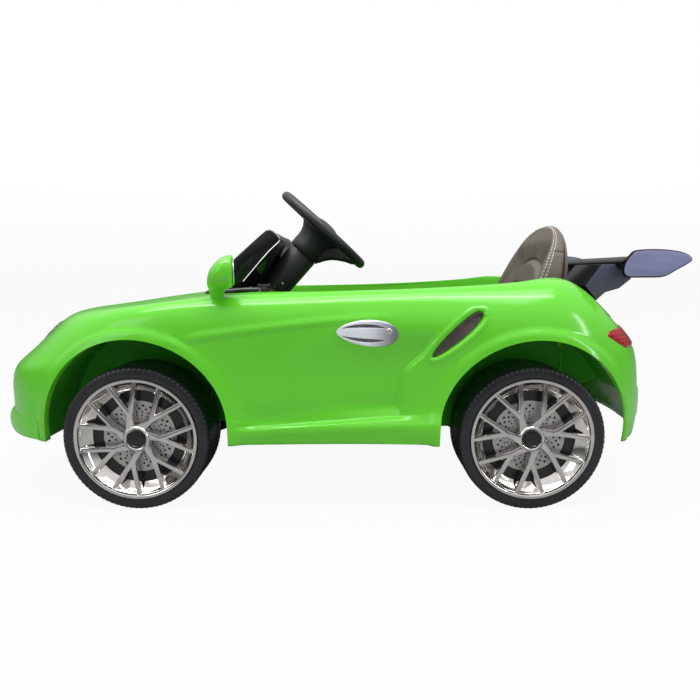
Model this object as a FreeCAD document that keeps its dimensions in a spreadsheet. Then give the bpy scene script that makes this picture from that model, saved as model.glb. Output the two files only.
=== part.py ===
import FreeCAD, Part
import math
import os
import re
import Sketcher
from FreeCAD import Vector

# Electric ride-on car for a small child: moulded body on four plastic wheels, steered by a wheel on a
# tilted column through a crank, a tie rod and two knuckles, driven by two geared motors at the back.
# Frame: nose toward -X, left side toward -Y, Z up from the ground, origin under the middle of the car.
# All sizes are in millimetres.

SIZES = {
    # body form
    "half_length": 585, "half_width": 279, "shell_bottom": 108, "rim_peak": 371, "shell_wall": 3.2,
    "trim_gap": 0.3, "trim_skin": 2.3, "overrun": 30, "rim_back_share": 0.718,
    # wheels and arches
    "nose_to_axle": 290, "tail_to_axle": 260, "wheel_radius": 115, "track_inset": 64, "tyre_width": 88,
    "arch_radius": 140, "arch_rise": 18, "well_extra": 12, "front_well_depth": 95, "rear_well_depth": 65,
    "skin_inset": 21, "side_inset": 63, "notch_reach": 78, "notch_top": 178, "arch_lip": 13,
    "arch_lip_out": 5,
    "tread_wall": 8.5, "tyre_shoulder": 7, "dish_radius": 97, "web_outer": 22, "web_wall": 6,
    "hub_radius": 20, "hub_outer": 24, "hub_inner": 30, "axle_radius": 5, "running_gap": 0.05,
    "disc_radius": 58, "disc_hub": 22, "disc_wall": 1.5, "disc_hole": 2, "disc_hole_circle": 46,
    "cover_lip": 96.6, "cover_lip_inner": 89, "cover_barrel": 82, "cover_hub_bore": 11, "cover_front": 45,
    "spoke_back": 31, "spoke_front": 38, "cover_hub": 20, "cover_hub_front": 42,
    "spoke_half": 4.5, "prong_half": 3.5, "prong_spread": 21.5, "fork_radius": 44, "cap_radius": 14.6,
    "cap_wall": 3, "nut_radius": 8, "nut_length": 7.4, "axial_gap": 0.3,
    # floor, axles and drive
    "tray_wall": 4, "tray_nose_gap": 155, "floor_front_reach": 163, "floor_back_reach": 160,
    "tray_tail_gap": 140, "tray_front_gap": 12, "floor_inset": 39, "tray_back_gap": 24,
    "axle_block_half": 13, "axle_block_gap": 6, "axle_block_length": 22, "axle_block_top": 132,
    "axle_notch": 8, "bracket_half": 12, "bracket_wall": 3, "bracket_inset": 103, "bracket_end_wall": 28,
    "lug_wall": 10, "lug_rise": 45, "lug_drop": 39, "lug_margin": 12, "kingpin_inset": 50,
    "kingpin_radius": 6, "kingpin_stand": 4, "collar_radius": 11, "spacer_radius": 8, "arm_length": 48,
    "arm_half": 8, "arm_wall": 6, "arm_rise": 19, "arm_pin_radius": 4, "arm_pin_height": 16,
    "rod_half": 11, "rod_wall": 4, "rod_lift": 2, "rod_shift": 1.8, "rod_slot_length": 7.5,
    "rod_slot_half": 4.9, "rod_block_half": 18, "rod_block_width": 15, "rod_block_wall": 3,
    "gear_radius": 40, "gear_gap": 51, "gear_length": 33, "motor_shift": 50, "motor_rise": 25,
    "motor_radius": 18, "motor_length": 55, "motor_boss": 26,
    "battery_gap": 24, "battery_length": 98, "battery_half": 55, "battery_height": 64,
    "control_nose_gap": 175, "control_length": 80, "control_half": 50, "control_height": 27,
    # steering
    "column_reach": 284.4, "wheel_centre_z": 454, "column_tilt": 42, "shaft_radius": 6, "shaft_top": 14,
    "crank_radius": 30, "crank_low": 368, "crank_wall": 10, "crank_pin": 404, "crank_pin_radius": 4,
    "crank_slot_half": 5.2, "crank_slot_inner": 18, "crank_slot_outer": 36, "shaft_hole": 15,
    "housing_radius": 29, "housing_low": 165, "housing_high": 52, "boss_low": 50, "boss_high": 12,
    "boss_small": 31, "boss_large": 44, "rim_ring": 94, "rim_radius": 10.5, "rim_hub_top": 2,
    "spoke_width": 26, "spoke_wall": 8, "horn_radius": 29, "horn_lift": 5.5, "horn_top": 13,
    "horn_stem": 6, "horn_stem_low": 6, "horn_well": 10,
    # dashboard
    "dash_front_reach": 198, "dash_back_reach": 85.4, "dash_inset": 109, "dash_low": 328,
    "dash_top": 350, "visor_reach": 157, "visor_lean": 32.6, "visor_wall": 30, "visor_inset": 154,
    "visor_length": 124, "footwell_top": 275, "switch_reach": 101.4, "switch_inset": 62,
    "button_radius": 9, "button_stem": 5, "button_lift": 3, "button_wall": 4, "button_low": 12,
    "rocker_half": 8, "rocker_length": 11, "rocker_up": 7, "rocker_down": 8, "rocker_well": 14,
    "rocker_side_gap": 0.5, "rocker_length_gap": 2.5,
    # pedal
    "pedal_reach": 101.4, "pedal_rise": 8, "pedal_inner": 36, "pedal_outer": 92, "pedal_length": 76,
    "pedal_wall": 6, "pedal_slope": 22, "pedal_barrel": 5, "pedal_pin": 3, "pedal_ear": 4, "pedal_base": 3,
    # mirrors
    "mirror_reach": 141.4, "mirror_inset": 29, "mirror_z": 383, "mirror_deep": 20, "mirror_wide": 31,
    "mirror_tall": 24, "mirror_face": 15, "mirror_glass_wall": 2, "stalk_radius": 9, "stalk_reach": 12,
    "stalk_inset": 21, "stalk_low": 320, "stalk_high": 376,
    # seat
    "rest_rim_gap": 84, "seat_back_step": 14, "seat_length": 162, "seat_gap": 24, "seat_height": 80,
    "seat_wall": 4, "cushion_side": 4, "cushion_height": 38, "cushion_round": 34, "cushion_length": 140,
    "rest_z": 192, "rest_lean": 8.7, "rest_side": 128, "rest_top": 280, "rest_depth": 48,
    "rest_shell_wall": 6, "rest_gap": 0.4, "ledge_reach": 42, "ledge_drop": 3.7, "ledge_wall": 6,
    # spoiler
    "wing_inset": 74, "wing_reach": 48, "wing_low": 373.4, "wing_top": 394, "plate_wall": 8,
    "plate_low": 365, "plate_top": 416, "pylon_inset": 103, "pylon_wall": 18, "deck_skin": 4,
    "deck_front_share": 0.7248, "deck_back_share": 0.8171, "pylon_share": 0.73, "pylon_z": 352,
    "pylon_reach": 78,
    # lamps, handles, vents and bumpers
    "lamp_inset": 147, "lamp_z": 268, "lamp_half_y": 40, "lamp_half_z": 24, "tail_inset": 22,
    "tail_length": 107, "tail_low": 254, "tail_high": 288, "handle_reach": 141, "handle_z": 283,
    "handle_half": 47, "handle_tall": 21, "vent_reach": 118, "vent_z": 282, "vent_half": 49, "vent_tall": 11,
    "vent_turn": 44, "bumper_inset": 101, "bumper_low": 113, "bumper_high": 182, "bumper_skin": 7,
    "bumper_round": 28, "lip_low": 104, "lip_high": 146, "lip_round": 14, "lip_depth": 137,
    "lip_corner": 130, "lip_corner_inset": 29, "lip_inset": 39, "socket_radius": 8, "socket_bore": 2.8,
    "socket_length": 12, "socket_depth": 9.5, "socket_z": 150, "socket_y": 70,
}

# Places that follow from the sizes above
DERIVED = {
    "half_track": "half_width - track_inset",
    "arch_skin": "half_width - skin_inset",
    "housing_side": "half_width - side_inset",
    "front_well_wall": "half_track - front_well_depth",
    "rear_well_wall": "half_track - rear_well_depth",
    "tray_front": "half_length - tray_nose_gap",
    "tray_floor_front": "half_length - nose_to_axle - floor_front_reach",
    "tray_floor_back": "half_length - tail_to_axle - floor_back_reach",
    "tray_back": "half_length - tray_tail_gap",
    "tray_front_half": "front_well_wall - tray_front_gap",
    "tray_floor_half": "half_width - floor_inset",
    "tray_back_half": "rear_well_wall - tray_back_gap",
    "axle_block_outer": "tray_back_half - axle_block_gap",
    "axle_block_inner": "axle_block_outer - axle_block_length",
    "bracket_end": "half_track - bracket_inset",
    "kingpin_y": "half_track - kingpin_inset",
    "gear_outer": "half_track - gear_gap",
    "gear_inner": "gear_outer - gear_length",
    "control_front": "half_length - control_nose_gap",
    "wheel_centre_x": "half_length - nose_to_axle - column_reach",
    "dash_front": "wheel_centre_x + dash_front_reach",
    "dash_back": "wheel_centre_x + dash_back_reach",
    "dash_half": "half_width - dash_inset",
    "visor_foot": "wheel_centre_x + visor_reach",
    "visor_half": "half_width - visor_inset",
    "switch_x": "wheel_centre_x + switch_reach",
    "switch_y": "dash_half - switch_inset",
    "pedal_heel": "wheel_centre_x + pedal_reach",
    "mirror_x": "wheel_centre_x + mirror_reach",
    "mirror_y": "half_width - mirror_inset",
    "stalk_x": "mirror_x + stalk_reach",
    "stalk_y": "mirror_y - stalk_inset",
    "rest_x": "half_length * rim_back_share - rest_rim_gap",
    "seat_back": "rest_x + seat_back_step",
    "seat_front": "seat_back - seat_length",
    "seat_half": "rear_well_wall - seat_gap",
    "battery_front": "seat_front + battery_gap",
    "cushion_half": "seat_half + cushion_side",
    "rest_half": "seat_half + cushion_side",
    "pylon_x": "half_length * pylon_share",
    "pylon_outer": "half_width - pylon_inset",
    "pylon_inner": "pylon_outer - pylon_wall",
    "deck_front": "half_length * deck_front_share",
    "deck_back": "half_length * deck_back_share",
    "wing_front": "pylon_x + wing_reach",
    "wing_half": "half_width - wing_inset",
    "lamp_y": "half_width - lamp_inset",
    "tail_outer": "half_width - tail_inset",
    "tail_inner": "tail_outer - tail_length",
    "vent_x": "half_length - tail_to_axle - vent_reach",
    "handle_x": "vent_x - handle_reach",
    "bumper_half": "half_width - bumper_inset",
    "lip_back": "half_length - lip_depth",
    "lip_half": "half_width - lip_inset",
    "lip_corner_half": "half_width - lip_corner_inset",
}

doc = FreeCAD.newDocument("ride_on_car")
sheet = doc.addObject("Spreadsheet::Sheet", "Sizes")
cells = [(alias, str(number)) for alias, number in SIZES.items()]
cells += [(alias, "=" + text) for alias, text in DERIVED.items()]
ALIASES = {alias for alias, content in cells}
for row, (alias, content) in enumerate(cells, start=1):
    sheet.set("A%d" % row, alias)
    sheet.set("B%d" % row, content)
    sheet.setAlias("B%d" % row, alias)
    sheet.recompute()
doc.recompute()

FRONT_X = "(nose_to_axle - half_length)"
REAR_X = "(half_length - tail_to_axle)"
WORD = re.compile(r"[a-z][a-z_]*[a-z]")
AXIS_TURNS = {"x": (Vector(0, 1, 0), 90), "y": (Vector(1, 0, 0), -90), "z": (Vector(0, 0, 1), 0)}
nodes = []


def mm(alias):
    """The present value of one named size."""
    return float(sheet.get(alias))


def formula(text):
    """Turns a formula written with bare size names into one that names the sheet's cells."""
    return WORD.sub(lambda word: "Sizes." + word.group() if word.group() in ALIASES else word.group(), text)


def bind(thing, **formulas):
    """Binds properties of one object to formulas of named sizes."""
    for name, text in formulas.items():
        thing.setExpression(name, formula(text))
    return thing


def place(thing, x="0", y="0", z="0", axis=None, angle="0"):
    """Binds an object's placement to formulas; the turn is about one fixed axis."""
    if axis is not None:
        thing.Placement = FreeCAD.Placement(Vector(), FreeCAD.Rotation(axis, 1))
        thing.setExpression("Placement.Rotation.Angle", formula(angle))
    for name, text in (("x", x), ("y", y), ("z", z)):
        thing.setExpression("Placement.Base." + name, formula(text))
    return thing


def box(name, x, y, z):
    """A block between two formulas on each axis."""
    block = doc.addObject("Part::Box", name)
    spans = zip(("Length", "Width", "Height"), (x, y, z))
    bind(block, **{side: "(%s) - (%s)" % (high, low) for side, (low, high) in spans})
    return place(block, x[0], y[0], z[0])


def rod(name, along, radius, span, x="0", y="0", z="0"):
    """A round bar along one axis between two formulas."""
    bar = doc.addObject("Part::Cylinder", name)
    bind(bar, Radius=radius, Height="(%s) - (%s)" % (span[1], span[0]))
    axis, angle = AXIS_TURNS[along]
    base = dict(x=x, y=y, z=z)
    base[along] = span[0]
    return place(bar, axis=axis, angle=str(angle), **base)


def fuse(name, *pieces):
    whole = doc.addObject("Part::MultiFuse", name)
    whole.Shapes = list(pieces)
    whole.Refine = True
    return whole


def cut(name, base, *tools):
    rest = doc.addObject("Part::Cut", name)
    rest.Base = base
    rest.Tool = tools[0] if len(tools) == 1 else fuse(name + "_tools", *tools)
    rest.Refine = True
    return rest


def mirrored(name, source):
    """The same piece on the other side of the car."""
    twin = doc.addObject("Part::Mirroring", name)
    twin.Source = source
    twin.Normal = (0, 1, 0)
    return twin


def node(thing, label):
    """Makes one object a sub-part that is written out under its label."""
    thing.Label = label
    nodes.append(thing)
    return thing


def shaped(label, shape):
    """A sub-part whose free form is made in code from the named sizes."""
    thing = doc.addObject("Part::Feature", label)
    thing.Shape = shape
    return node(thing, label)


def on_column(thing, drop="0"):
    """Places a piece built along Z on the tilted steering axis, from the steering wheel's centre."""
    x = "-wheel_centre_x - (%s) * sin(column_tilt)" % drop
    z = "wheel_centre_z - (%s) * cos(column_tilt)" % drop
    return place(thing, x=x, z=z, axis=Vector(0, 1, 0), angle="column_tilt")


def polygon(body, name, plane, corners):
    """A closed sketch of straight lines whose corners are bound to formulas."""
    sketch = body.newObject("Sketcher::SketchObject", name)
    support = next(item for item in body.Origin.OriginFeatures if item.Role == plane)
    sketch.AttachmentSupport = (support, [""])
    sketch.MapMode = "FlatFace"
    count = len(corners)
    turns = [2 * math.pi * index / count for index in range(count)]
    starts = [Vector(math.cos(turn), math.sin(turn), 0) for turn in turns]
    for index in range(count):
        sketch.addGeometry(Part.LineSegment(starts[index], starts[(index + 1) % count]), False)
    for index in range(count):
        sketch.addConstraint(Sketcher.Constraint("Coincident", index, 2, (index + 1) % count, 1))
    for index, corner in enumerate(corners):
        for kind, axis, text, here in (("DistanceX", -2, corner[0], starts[index].x),
                                       ("DistanceY", -1, corner[1], starts[index].y)):
            if text == "0":
                sketch.addConstraint(Sketcher.Constraint("PointOnObject", index, 1, axis))
                continue
            number = sketch.addConstraint(Sketcher.Constraint(kind, -1, 1, index, 1, here))
            sketch.setExpression("Constraints[%d]" % number, formula(text))
    return sketch


# Body form
# The skin runs from the bottom edge up the side, over the shoulder to the cockpit rim and down the inner
# wall. Stations go from the middle of the nose to the middle of the tail; each has a place on the outer
# plan outline and one on the cockpit rim. Profiles tell how far a level lies from the first toward the
# second, and how high between the bottom edge and the rim's peak.

OUTER_SHARES = [
    (-.976, 0), (-.965, .341), (-.917, .591), (-.821, .806), (-.684, .918), (-.513, .968),
    (-.325, .961), (-.154, .946), (.034, .939), (.222, .953), (.393, .986), (.556, 1),
    (.701, .971), (.812, .871), (.889, .681), (.937, .376), (.952, 0)]
RIM_SHARES = [
    (-.248, 0), (-.248, .215), (-.246, .401), (-.239, .556), (-.219, .670), (-.181, .735),
    (-.123, .760), (-.034, .771), (.085, .778), (.222, .785), (.368, .785), (.504, .767),
    (.619, .706), (.680, .581), (.704, .412), (.715, .215), (.718, 0)]
PROFILE_SHARES = {
    0: [(.006, 0), (0, .08), (0, .18), (0, .28), (.004, .36), (.018, .42), (.054, .479), (.11, .559),
        (.171, .646), (.225, .722), (.30, .765), (.50, .803), (.78, .874), (.96, .8745), (1, .85),
        (1.01, .5), (1.02, 0)],
    3: [(.008, 0), (0, .08), (0, .18), (0, .28), (.004, .36), (.015, .43), (.045, .50), (.09, .58),
        (.145, .66), (.21, .735), (.32, .785), (.53, .825), (.78, .872), (.96, .876), (1, .85),
        (1.01, .5), (1.02, 0)],
    5: [(.015, 0), (.005, .08), (0, .18), (.004, .28), (.008, .4), (.015, .5), (.03, .59), (.07, .68),
        (.14, .755), (.25, .81), (.42, .845), (.62, .868), (.82, .885), (.96, .89), (1, .86),
        (1.01, .5), (1.03, 0)],
    7: [(.05, 0), (.015, .05), (0, .11), (.09, .155), (.12, .30), (.11, .45), (.07, .60), (.06, .69),
        (.12, .765), (.27, .825), (.47, .862), (.68, .885), (.85, .897), (.97, .895), (1, .865),
        (1.02, .5), (1.04, 0)],
    9: [(.11, 0), (.03, .05), (0, .12), (.17, .17), (.22, .30), (.19, .45), (.13, .60), (.11, .69),
        (.2, .775), (.38, .845), (.57, .885), (.76, .905), (.89, .912), (.97, .91), (1, .88),
        (1.02, .5), (1.05, 0)],
    11: [(.07, 0), (.02, .06), (0, .14), (.03, .25), (.03, .4), (.03, .52), (.05, .62), (.10, .70),
         (.19, .78), (.34, .85), (.53, .905), (.72, .935), (.87, .947), (.97, .945), (1, .915),
         (1.02, .5), (1.04, 0)],
    12: [(.05, 0), (.015, .06), (0, .14), (.01, .25), (.015, .4), (.03, .52), (.06, .61), (.11, .69),
         (.20, .77), (.34, .845), (.53, .915), (.72, .955), (.87, .973), (.97, .973), (1, .945),
         (1.01, .5), (1.03, 0)],
    14: [(.03, 0), (.01, .06), (0, .14), (0, .25), (.005, .38), (.02, .49), (.06, .57), (.13, .625),
         (.25, .68), (.41, .745), (.58, .81), (.75, .875), (.88, .92), (.97, .935), (1, .91),
         (1.01, .5), (1.02, 0)],
    16: [(.02, 0), (0, .06), (0, .14), (.01, .25), (.015, .38), (.03, .48), (.07, .55), (.13, .61),
         (.23, .67), (.38, .735), (.56, .80), (.74, .865), (.88, .91), (.97, .925), (1, .90),
         (1.01, .5), (1.02, 0)]}
STATIONS = list(range(len(OUTER_SHARES)))
PROFILE_STATIONS = sorted(PROFILE_SHARES)
LEVELS = list(range(len(PROFILE_SHARES[0])))
STATION_STEPS = 3
LEVEL_STEPS = 2
SKIN_DEGREE = 3


def smooth(places, values, at):
    """A smooth curve through the given values."""
    last = len(places) - 1
    left = max(index for index in range(last) if index == 0 or places[index] <= at)

    def slope(index):
        low, high = max(index - 1, 0), min(index + 1, last)
        return (values[high] - values[low]) / (places[high] - places[low])

    width = places[left + 1] - places[left]
    share = (at - places[left]) / width
    square, cube = share ** 2, share ** 3
    rise_start, rise_end = slope(left) * width, slope(left + 1) * width
    return ((2 * cube - 3 * square + 1) * values[left] + (cube - 2 * square + share) * rise_start
            + (3 * square - 2 * cube) * values[left + 1] + (cube - square) * rise_end)


def form_column(station):
    """Points of the right half's skin at one station, from the outer bottom edge to the inner one."""
    outer, rim = [[smooth(STATIONS, [pair[axis] for pair in table], station) for axis in (0, 1)]
                  for table in (OUTER_SHARES, RIM_SHARES)]
    ways = [[smooth(PROFILE_STATIONS, [PROFILE_SHARES[key][level][axis] for key in PROFILE_STATIONS],
                    station) for level in LEVELS] for axis in (0, 1)]
    column = []
    for step in range((len(LEVELS) - 1) * LEVEL_STEPS + 1):
        inward, up = [smooth(LEVELS, way, step / LEVEL_STEPS) for way in ways]
        x = (outer[0] + inward * (rim[0] - outer[0])) * mm("half_length")
        y = (outer[1] + inward * (rim[1] - outer[1])) * mm("half_width")
        column.append(Vector(x, y, mm("shell_bottom") + up * (mm("rim_peak") - mm("shell_bottom"))))
    return column


FORM = [form_column(step / STATION_STEPS) for step in range((len(STATIONS) - 1) * STATION_STEPS + 1)]


def across(point):
    return Vector(point.x, -point.y, point.z)


def skin_normal(column, row):
    """Outward direction of the skin at one point of the form."""
    before = FORM[column - 1][row] if column else across(FORM[1][row])
    after = FORM[column + 1][row] if column + 1 < len(FORM) else across(FORM[-2][row])
    points = FORM[column]
    rising = points[min(row + 1, len(points) - 1)] - points[max(row - 1, 0)]
    normal = rising.cross(after - before)
    return normal.normalize()


def cubic_skin(grid):
    """A smooth face drawn by a grid of poles, reaching the grid's edges."""
    counts = [len(grid), len(grid[0])]
    knots = [list(range(count - SKIN_DEGREE + 1)) for count in counts]
    repeats = [[SKIN_DEGREE + 1] + [1] * (len(run) - 2) + [SKIN_DEGREE + 1] for run in knots]
    surface = Part.BSplineSurface()
    surface.buildFromPolesMultsKnots(grid, repeats[0], repeats[1], knots[0], knots[1], False, False,
                                     SKIN_DEGREE, SKIN_DEGREE)
    return surface.toShape()


def body_form(offset, open_below=False):
    """The body as a full ring round the cockpit, its skin moved outward by an offset."""
    grid = []
    for column, points in enumerate(FORM):
        moved = [point + skin_normal(column, row) * offset for row, point in enumerate(points)]
        moved[0].z = moved[-1].z = mm("shell_bottom")
        if column in (0, len(FORM) - 1):
            for point in moved:
                point.y = 0
        if open_below:
            drop = Vector(0, 0, mm("overrun"))
            moved = [moved[0] - drop] + moved + [moved[-1] - drop]
        grid.append(moved)
    for edge_column, next_column in ((grid[0], grid[1]), (grid[-1], grid[-2])):
        for edge_point, next_point in zip(edge_column, next_column):
            next_point.x, next_point.z = edge_point.x, edge_point.z
    faces = [cubic_skin(half) for half in (grid, [[across(point) for point in points] for points in grid])]
    low_edges = [edge for face in faces for edge in face.Edges if edge.BoundBox.ZLength < mm("shell_wall")]
    wires = [Part.Wire(group) for group in Part.sortEdges(low_edges)]
    wires.sort(key=lambda wire: wire.BoundBox.DiagonalLength, reverse=True)
    bottom = Part.Face(wires)
    shell = Part.Shell(faces + [bottom])
    shell.sewShape()
    solid = Part.Solid(Part.Shell(shell.Faces))
    solid.fix(mm("running_gap"), mm("running_gap"), mm("running_gap"))
    if solid.Volume < 0:
        solid.reverse()
    return solid


def block(low, high):
    """A plain block between two corners, for cutting free forms."""
    return Part.makeBox(high.x - low.x, high.y - low.y, high.z - low.z, low)


def arch_prism(axle_x, radius, near, far):
    """Wheel opening: round above, straight down at the sides, between two distances from the middle."""
    top = mm("wheel_radius") + mm("arch_rise")
    low = mm("shell_bottom") - mm("overrun")
    left, right = Vector(axle_x - radius, near, top), Vector(axle_x + radius, near, top)
    left_low, right_low = Vector(left.x, near, low), Vector(right.x, near, low)
    edges = [Part.Arc(left, Vector(axle_x, near, top + radius), right).toShape(),
             Part.makeLine(right, right_low), Part.makeLine(right_low, left_low),
             Part.makeLine(left_low, left)]
    return Part.Face(Part.Wire(edges)).extrude(Vector(0, far - near, 0))


def both_sides(shape):
    return [shape, shape.mirror(Vector(), Vector(0, 1, 0))]


front_x = mm("nose_to_axle") - mm("half_length")
rear_x = mm("half_length") - mm("tail_to_axle")
tilt = math.radians(mm("column_tilt"))
column_axis = Vector(math.sin(tilt), 0, math.cos(tilt))
wheel_centre = Vector(-mm("wheel_centre_x"), 0, mm("wheel_centre_z"))
outer_form = body_form(0)
trim_form = body_form(mm("trim_gap"))

# Body shell
# One blow-moulded shell: outer skin, rolled cockpit rim and inner wall, with a housing over each wheel.
wells, openings, housings, notches = [], [], [], []
for axle_x, wall in ((front_x, mm("front_well_wall")), (rear_x, mm("rear_well_wall"))):
    cavity = mm("arch_radius") + mm("well_extra")
    skin, side, outside = mm("arch_skin"), mm("housing_side"), mm("half_width") + mm("overrun")
    thick = cavity + mm("shell_wall")
    wells += both_sides(arch_prism(axle_x, cavity, wall, skin))
    openings += both_sides(arch_prism(axle_x, mm("arch_radius"), wall, outside))
    housings += both_sides(arch_prism(axle_x, thick, wall - mm("shell_wall"), outside))
    reach = Vector(mm("notch_reach"), mm("shell_wall") + mm("running_gap"), 0)
    low = Vector(axle_x, wall, mm("shell_bottom") - mm("overrun")) - reach
    high = Vector(axle_x, wall, mm("notch_top")) + reach
    notches += both_sides(block(low, high))
hollow = body_form(-mm("shell_wall"), open_below=True).cut(housings)
inner_sides = block(Vector(-mm("half_length"), -mm("housing_side"), mm("shell_bottom")),
                    Vector(mm("half_length"), mm("housing_side"), mm("rim_peak")))
humps = [housing.common(inner_sides) for housing in housings]
window_half = mm("tray_front_half")
footwell = block(Vector(front_x, -window_half, mm("shell_bottom") - mm("overrun")),
                 Vector(-mm("dash_back"), window_half, mm("footwell_top")))
shaft_start = wheel_centre - column_axis * (mm("housing_low") + mm("half_track"))
shaft_hole = Part.makeCylinder(mm("shaft_hole"), mm("half_track"), shaft_start, column_axis)
shell = outer_form.cut(hollow).fuse(humps)
shell = shell.cut(wells + openings + notches + [footwell, shaft_hole])
lips = []
for axle_x in (front_x, rear_x):
    ring_start = mm("housing_side")
    ring_end = mm("half_width") + mm("arch_lip_out")
    outside = arch_prism(axle_x, mm("arch_radius") + mm("arch_lip"), ring_start, ring_end)
    lips += both_sides(outside.cut(arch_prism(axle_x, mm("arch_radius"), ring_start, ring_end)))
flared = body_form(mm("arch_lip_out")).cut(outer_form)
shell = shell.fuse([flared.common(lip) for lip in lips])
shaped("body_shell", shell)

# Front lip
# Rounded splitter along the bottom of the nose, screwed to the bumper from below.
LIP_SHARES = [(0, .7), (.2, .15), (.5, 0), (.8, .2), (1, .9)]
LIP_POINTS = 13


def lip_outline(height_share, inset_share):
    """Plan outline of the lip at one height, drawn in by a share of its rounding."""
    inset = inset_share * mm("lip_round")
    z = mm("lip_low") + height_share * (mm("lip_high") - mm("lip_low"))
    half = mm("lip_half") - inset
    points = []
    for index in range(LIP_POINTS):
        y = half * (2 * index / (LIP_POINTS - 1) - 1)
        bend = mm("lip_corner") * abs(y / mm("lip_corner_half")) ** 3
        points.append(Vector(bend + inset - mm("half_length"), y, z))
    curve = Part.BSplineCurve()
    curve.interpolate(points)
    back = -mm("lip_back")
    ends = [points[-1], Vector(back, half, z), Vector(back, -half, z), points[0]]
    lines = [Part.makeLine(first, second) for first, second in zip(ends, ends[1:])]
    return Part.Wire([curve.toShape()] + lines)


lip = Part.makeLoft([lip_outline(*share) for share in LIP_SHARES], True)
shaped("front_lip", lip.cut(trim_form))

# Lamps, handles, vents and bumper panel
# Thin mouldings that lie on the skin; each is the layer just outside the skin under its outline.
layer = body_form(mm("trim_skin")).cut(trim_form)
bumper_layer = body_form(mm("bumper_skin")).cut(trim_form)


def outline_prism(points, way):
    return Part.Face(Part.makePolygon(points + points[:1])).extrude(way)


def oval_prism(centre, across_half, along_half, turn, way):
    """A prism over an oval; the oval's long side is turned in its own plane."""
    oval = Part.Ellipse(Vector(), along_half, across_half).toShape()
    face = Part.Face(Part.Wire([oval]))
    face.rotate(Vector(), Vector(0, 0, 1), turn)
    face.rotate(Vector(), Vector(1, 0, 0), 90)
    if abs(way.x) > 0:
        face.rotate(Vector(), Vector(0, 0, 1), 90)
    face.translate(centre)
    return face.extrude(way)


def trim_pair(label, prism, source):
    """A left and a right moulding cut from one layer."""
    right = source.common(prism)
    shaped(label + "_right", right)
    shaped(label + "_left", right.mirror(Vector(), Vector(0, 1, 0)))


lamp_way = Vector(front_x + mm("half_length"), 0, 0)
lamp_centre = Vector(-mm("half_length") - mm("overrun"), mm("lamp_y"), mm("lamp_z"))
trim_pair("headlight", oval_prism(lamp_centre, mm("lamp_half_z"), mm("lamp_half_y"), 0, lamp_way), layer)
tail_x = mm("half_length") * mm("rim_back_share")
tail_slant = mm("tail_high") - mm("tail_low")
TAIL_CORNER_SHARE = .33
tail_corner = TAIL_CORNER_SHARE * tail_slant
tail_points = [Vector(tail_x, mm("tail_inner"), mm("tail_low")),
               Vector(tail_x, mm("tail_outer") - tail_slant, mm("tail_low")),
               Vector(tail_x, mm("tail_outer"), mm("tail_high") - tail_corner),
               Vector(tail_x, mm("tail_outer") - tail_corner, mm("tail_high")),
               Vector(tail_x, mm("tail_inner"), mm("tail_high"))]
tail_way = Vector(mm("half_length") - tail_x, 0, 0)
trim_pair("tail_light", outline_prism(tail_points, tail_way), layer)
side_way = Vector(0, mm("half_width") - mm("housing_side") + mm("overrun"), 0)
handle_centre = Vector(mm("handle_x"), mm("tray_floor_half"), mm("handle_z"))
handle = oval_prism(handle_centre, mm("handle_tall"), mm("handle_half"), 0, side_way)
trim_pair("door_handle", handle, layer)
vent_centre = Vector(mm("vent_x"), mm("tray_floor_half"), mm("vent_z"))
vent = oval_prism(vent_centre, mm("vent_tall"), mm("vent_half"), mm("vent_turn"), side_way)
trim_pair("side_vent", vent, layer)
bumper_box = block(Vector(rear_x + mm("arch_radius"), -mm("bumper_half"), mm("bumper_low")),
                   Vector(mm("half_length"), mm("bumper_half"), mm("bumper_high")))
corner_edges = [edge for edge in bumper_box.Edges if abs(edge.tangentAt(edge.FirstParameter).x) > 0.5]
bumper_box = bumper_box.makeFillet(mm("bumper_round"), corner_edges)
shaped("rear_bumper_panel", bumper_layer.common(bumper_box))

# Mirrors
# Green housings on short stalks, plugged into the front fenders, with a flat glass facing back.
head = Part.makeSphere(mm("mirror_tall"))
stretch = FreeCAD.Matrix()
stretch.scale(mm("mirror_deep") / mm("mirror_tall"), mm("mirror_wide") / mm("mirror_tall"), 1)
head = head.transformGeometry(stretch)
head.translate(Vector(-mm("mirror_x"), mm("mirror_y"), mm("mirror_z")))
face_x = mm("mirror_face") - mm("mirror_x")
face_low = Vector(face_x, 0, mm("shell_bottom"))
far_corner = Vector(mm("half_length"), mm("half_length"), mm("half_length"))
behind = block(face_low, far_corner)
glass_slab = block(face_low, Vector(face_x + mm("mirror_glass_wall"), far_corner.y, far_corner.z))
stalk = Part.makeCylinder(mm("stalk_radius"), mm("stalk_high") - mm("stalk_low"),
                          Vector(-mm("stalk_x"), mm("stalk_y"), mm("stalk_low")))
housing = head.fuse(stalk).cut([behind, trim_form])
housing = max(housing.Solids, key=lambda solid: solid.Volume)
glass = head.common(glass_slab)
shaped("mirror_housing_right", housing)
shaped("mirror_housing_left", housing.mirror(Vector(), Vector(0, 1, 0)))
shaped("mirror_glass_right", glass)
shaped("mirror_glass_left", glass.mirror(Vector(), Vector(0, 1, 0)))

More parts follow.
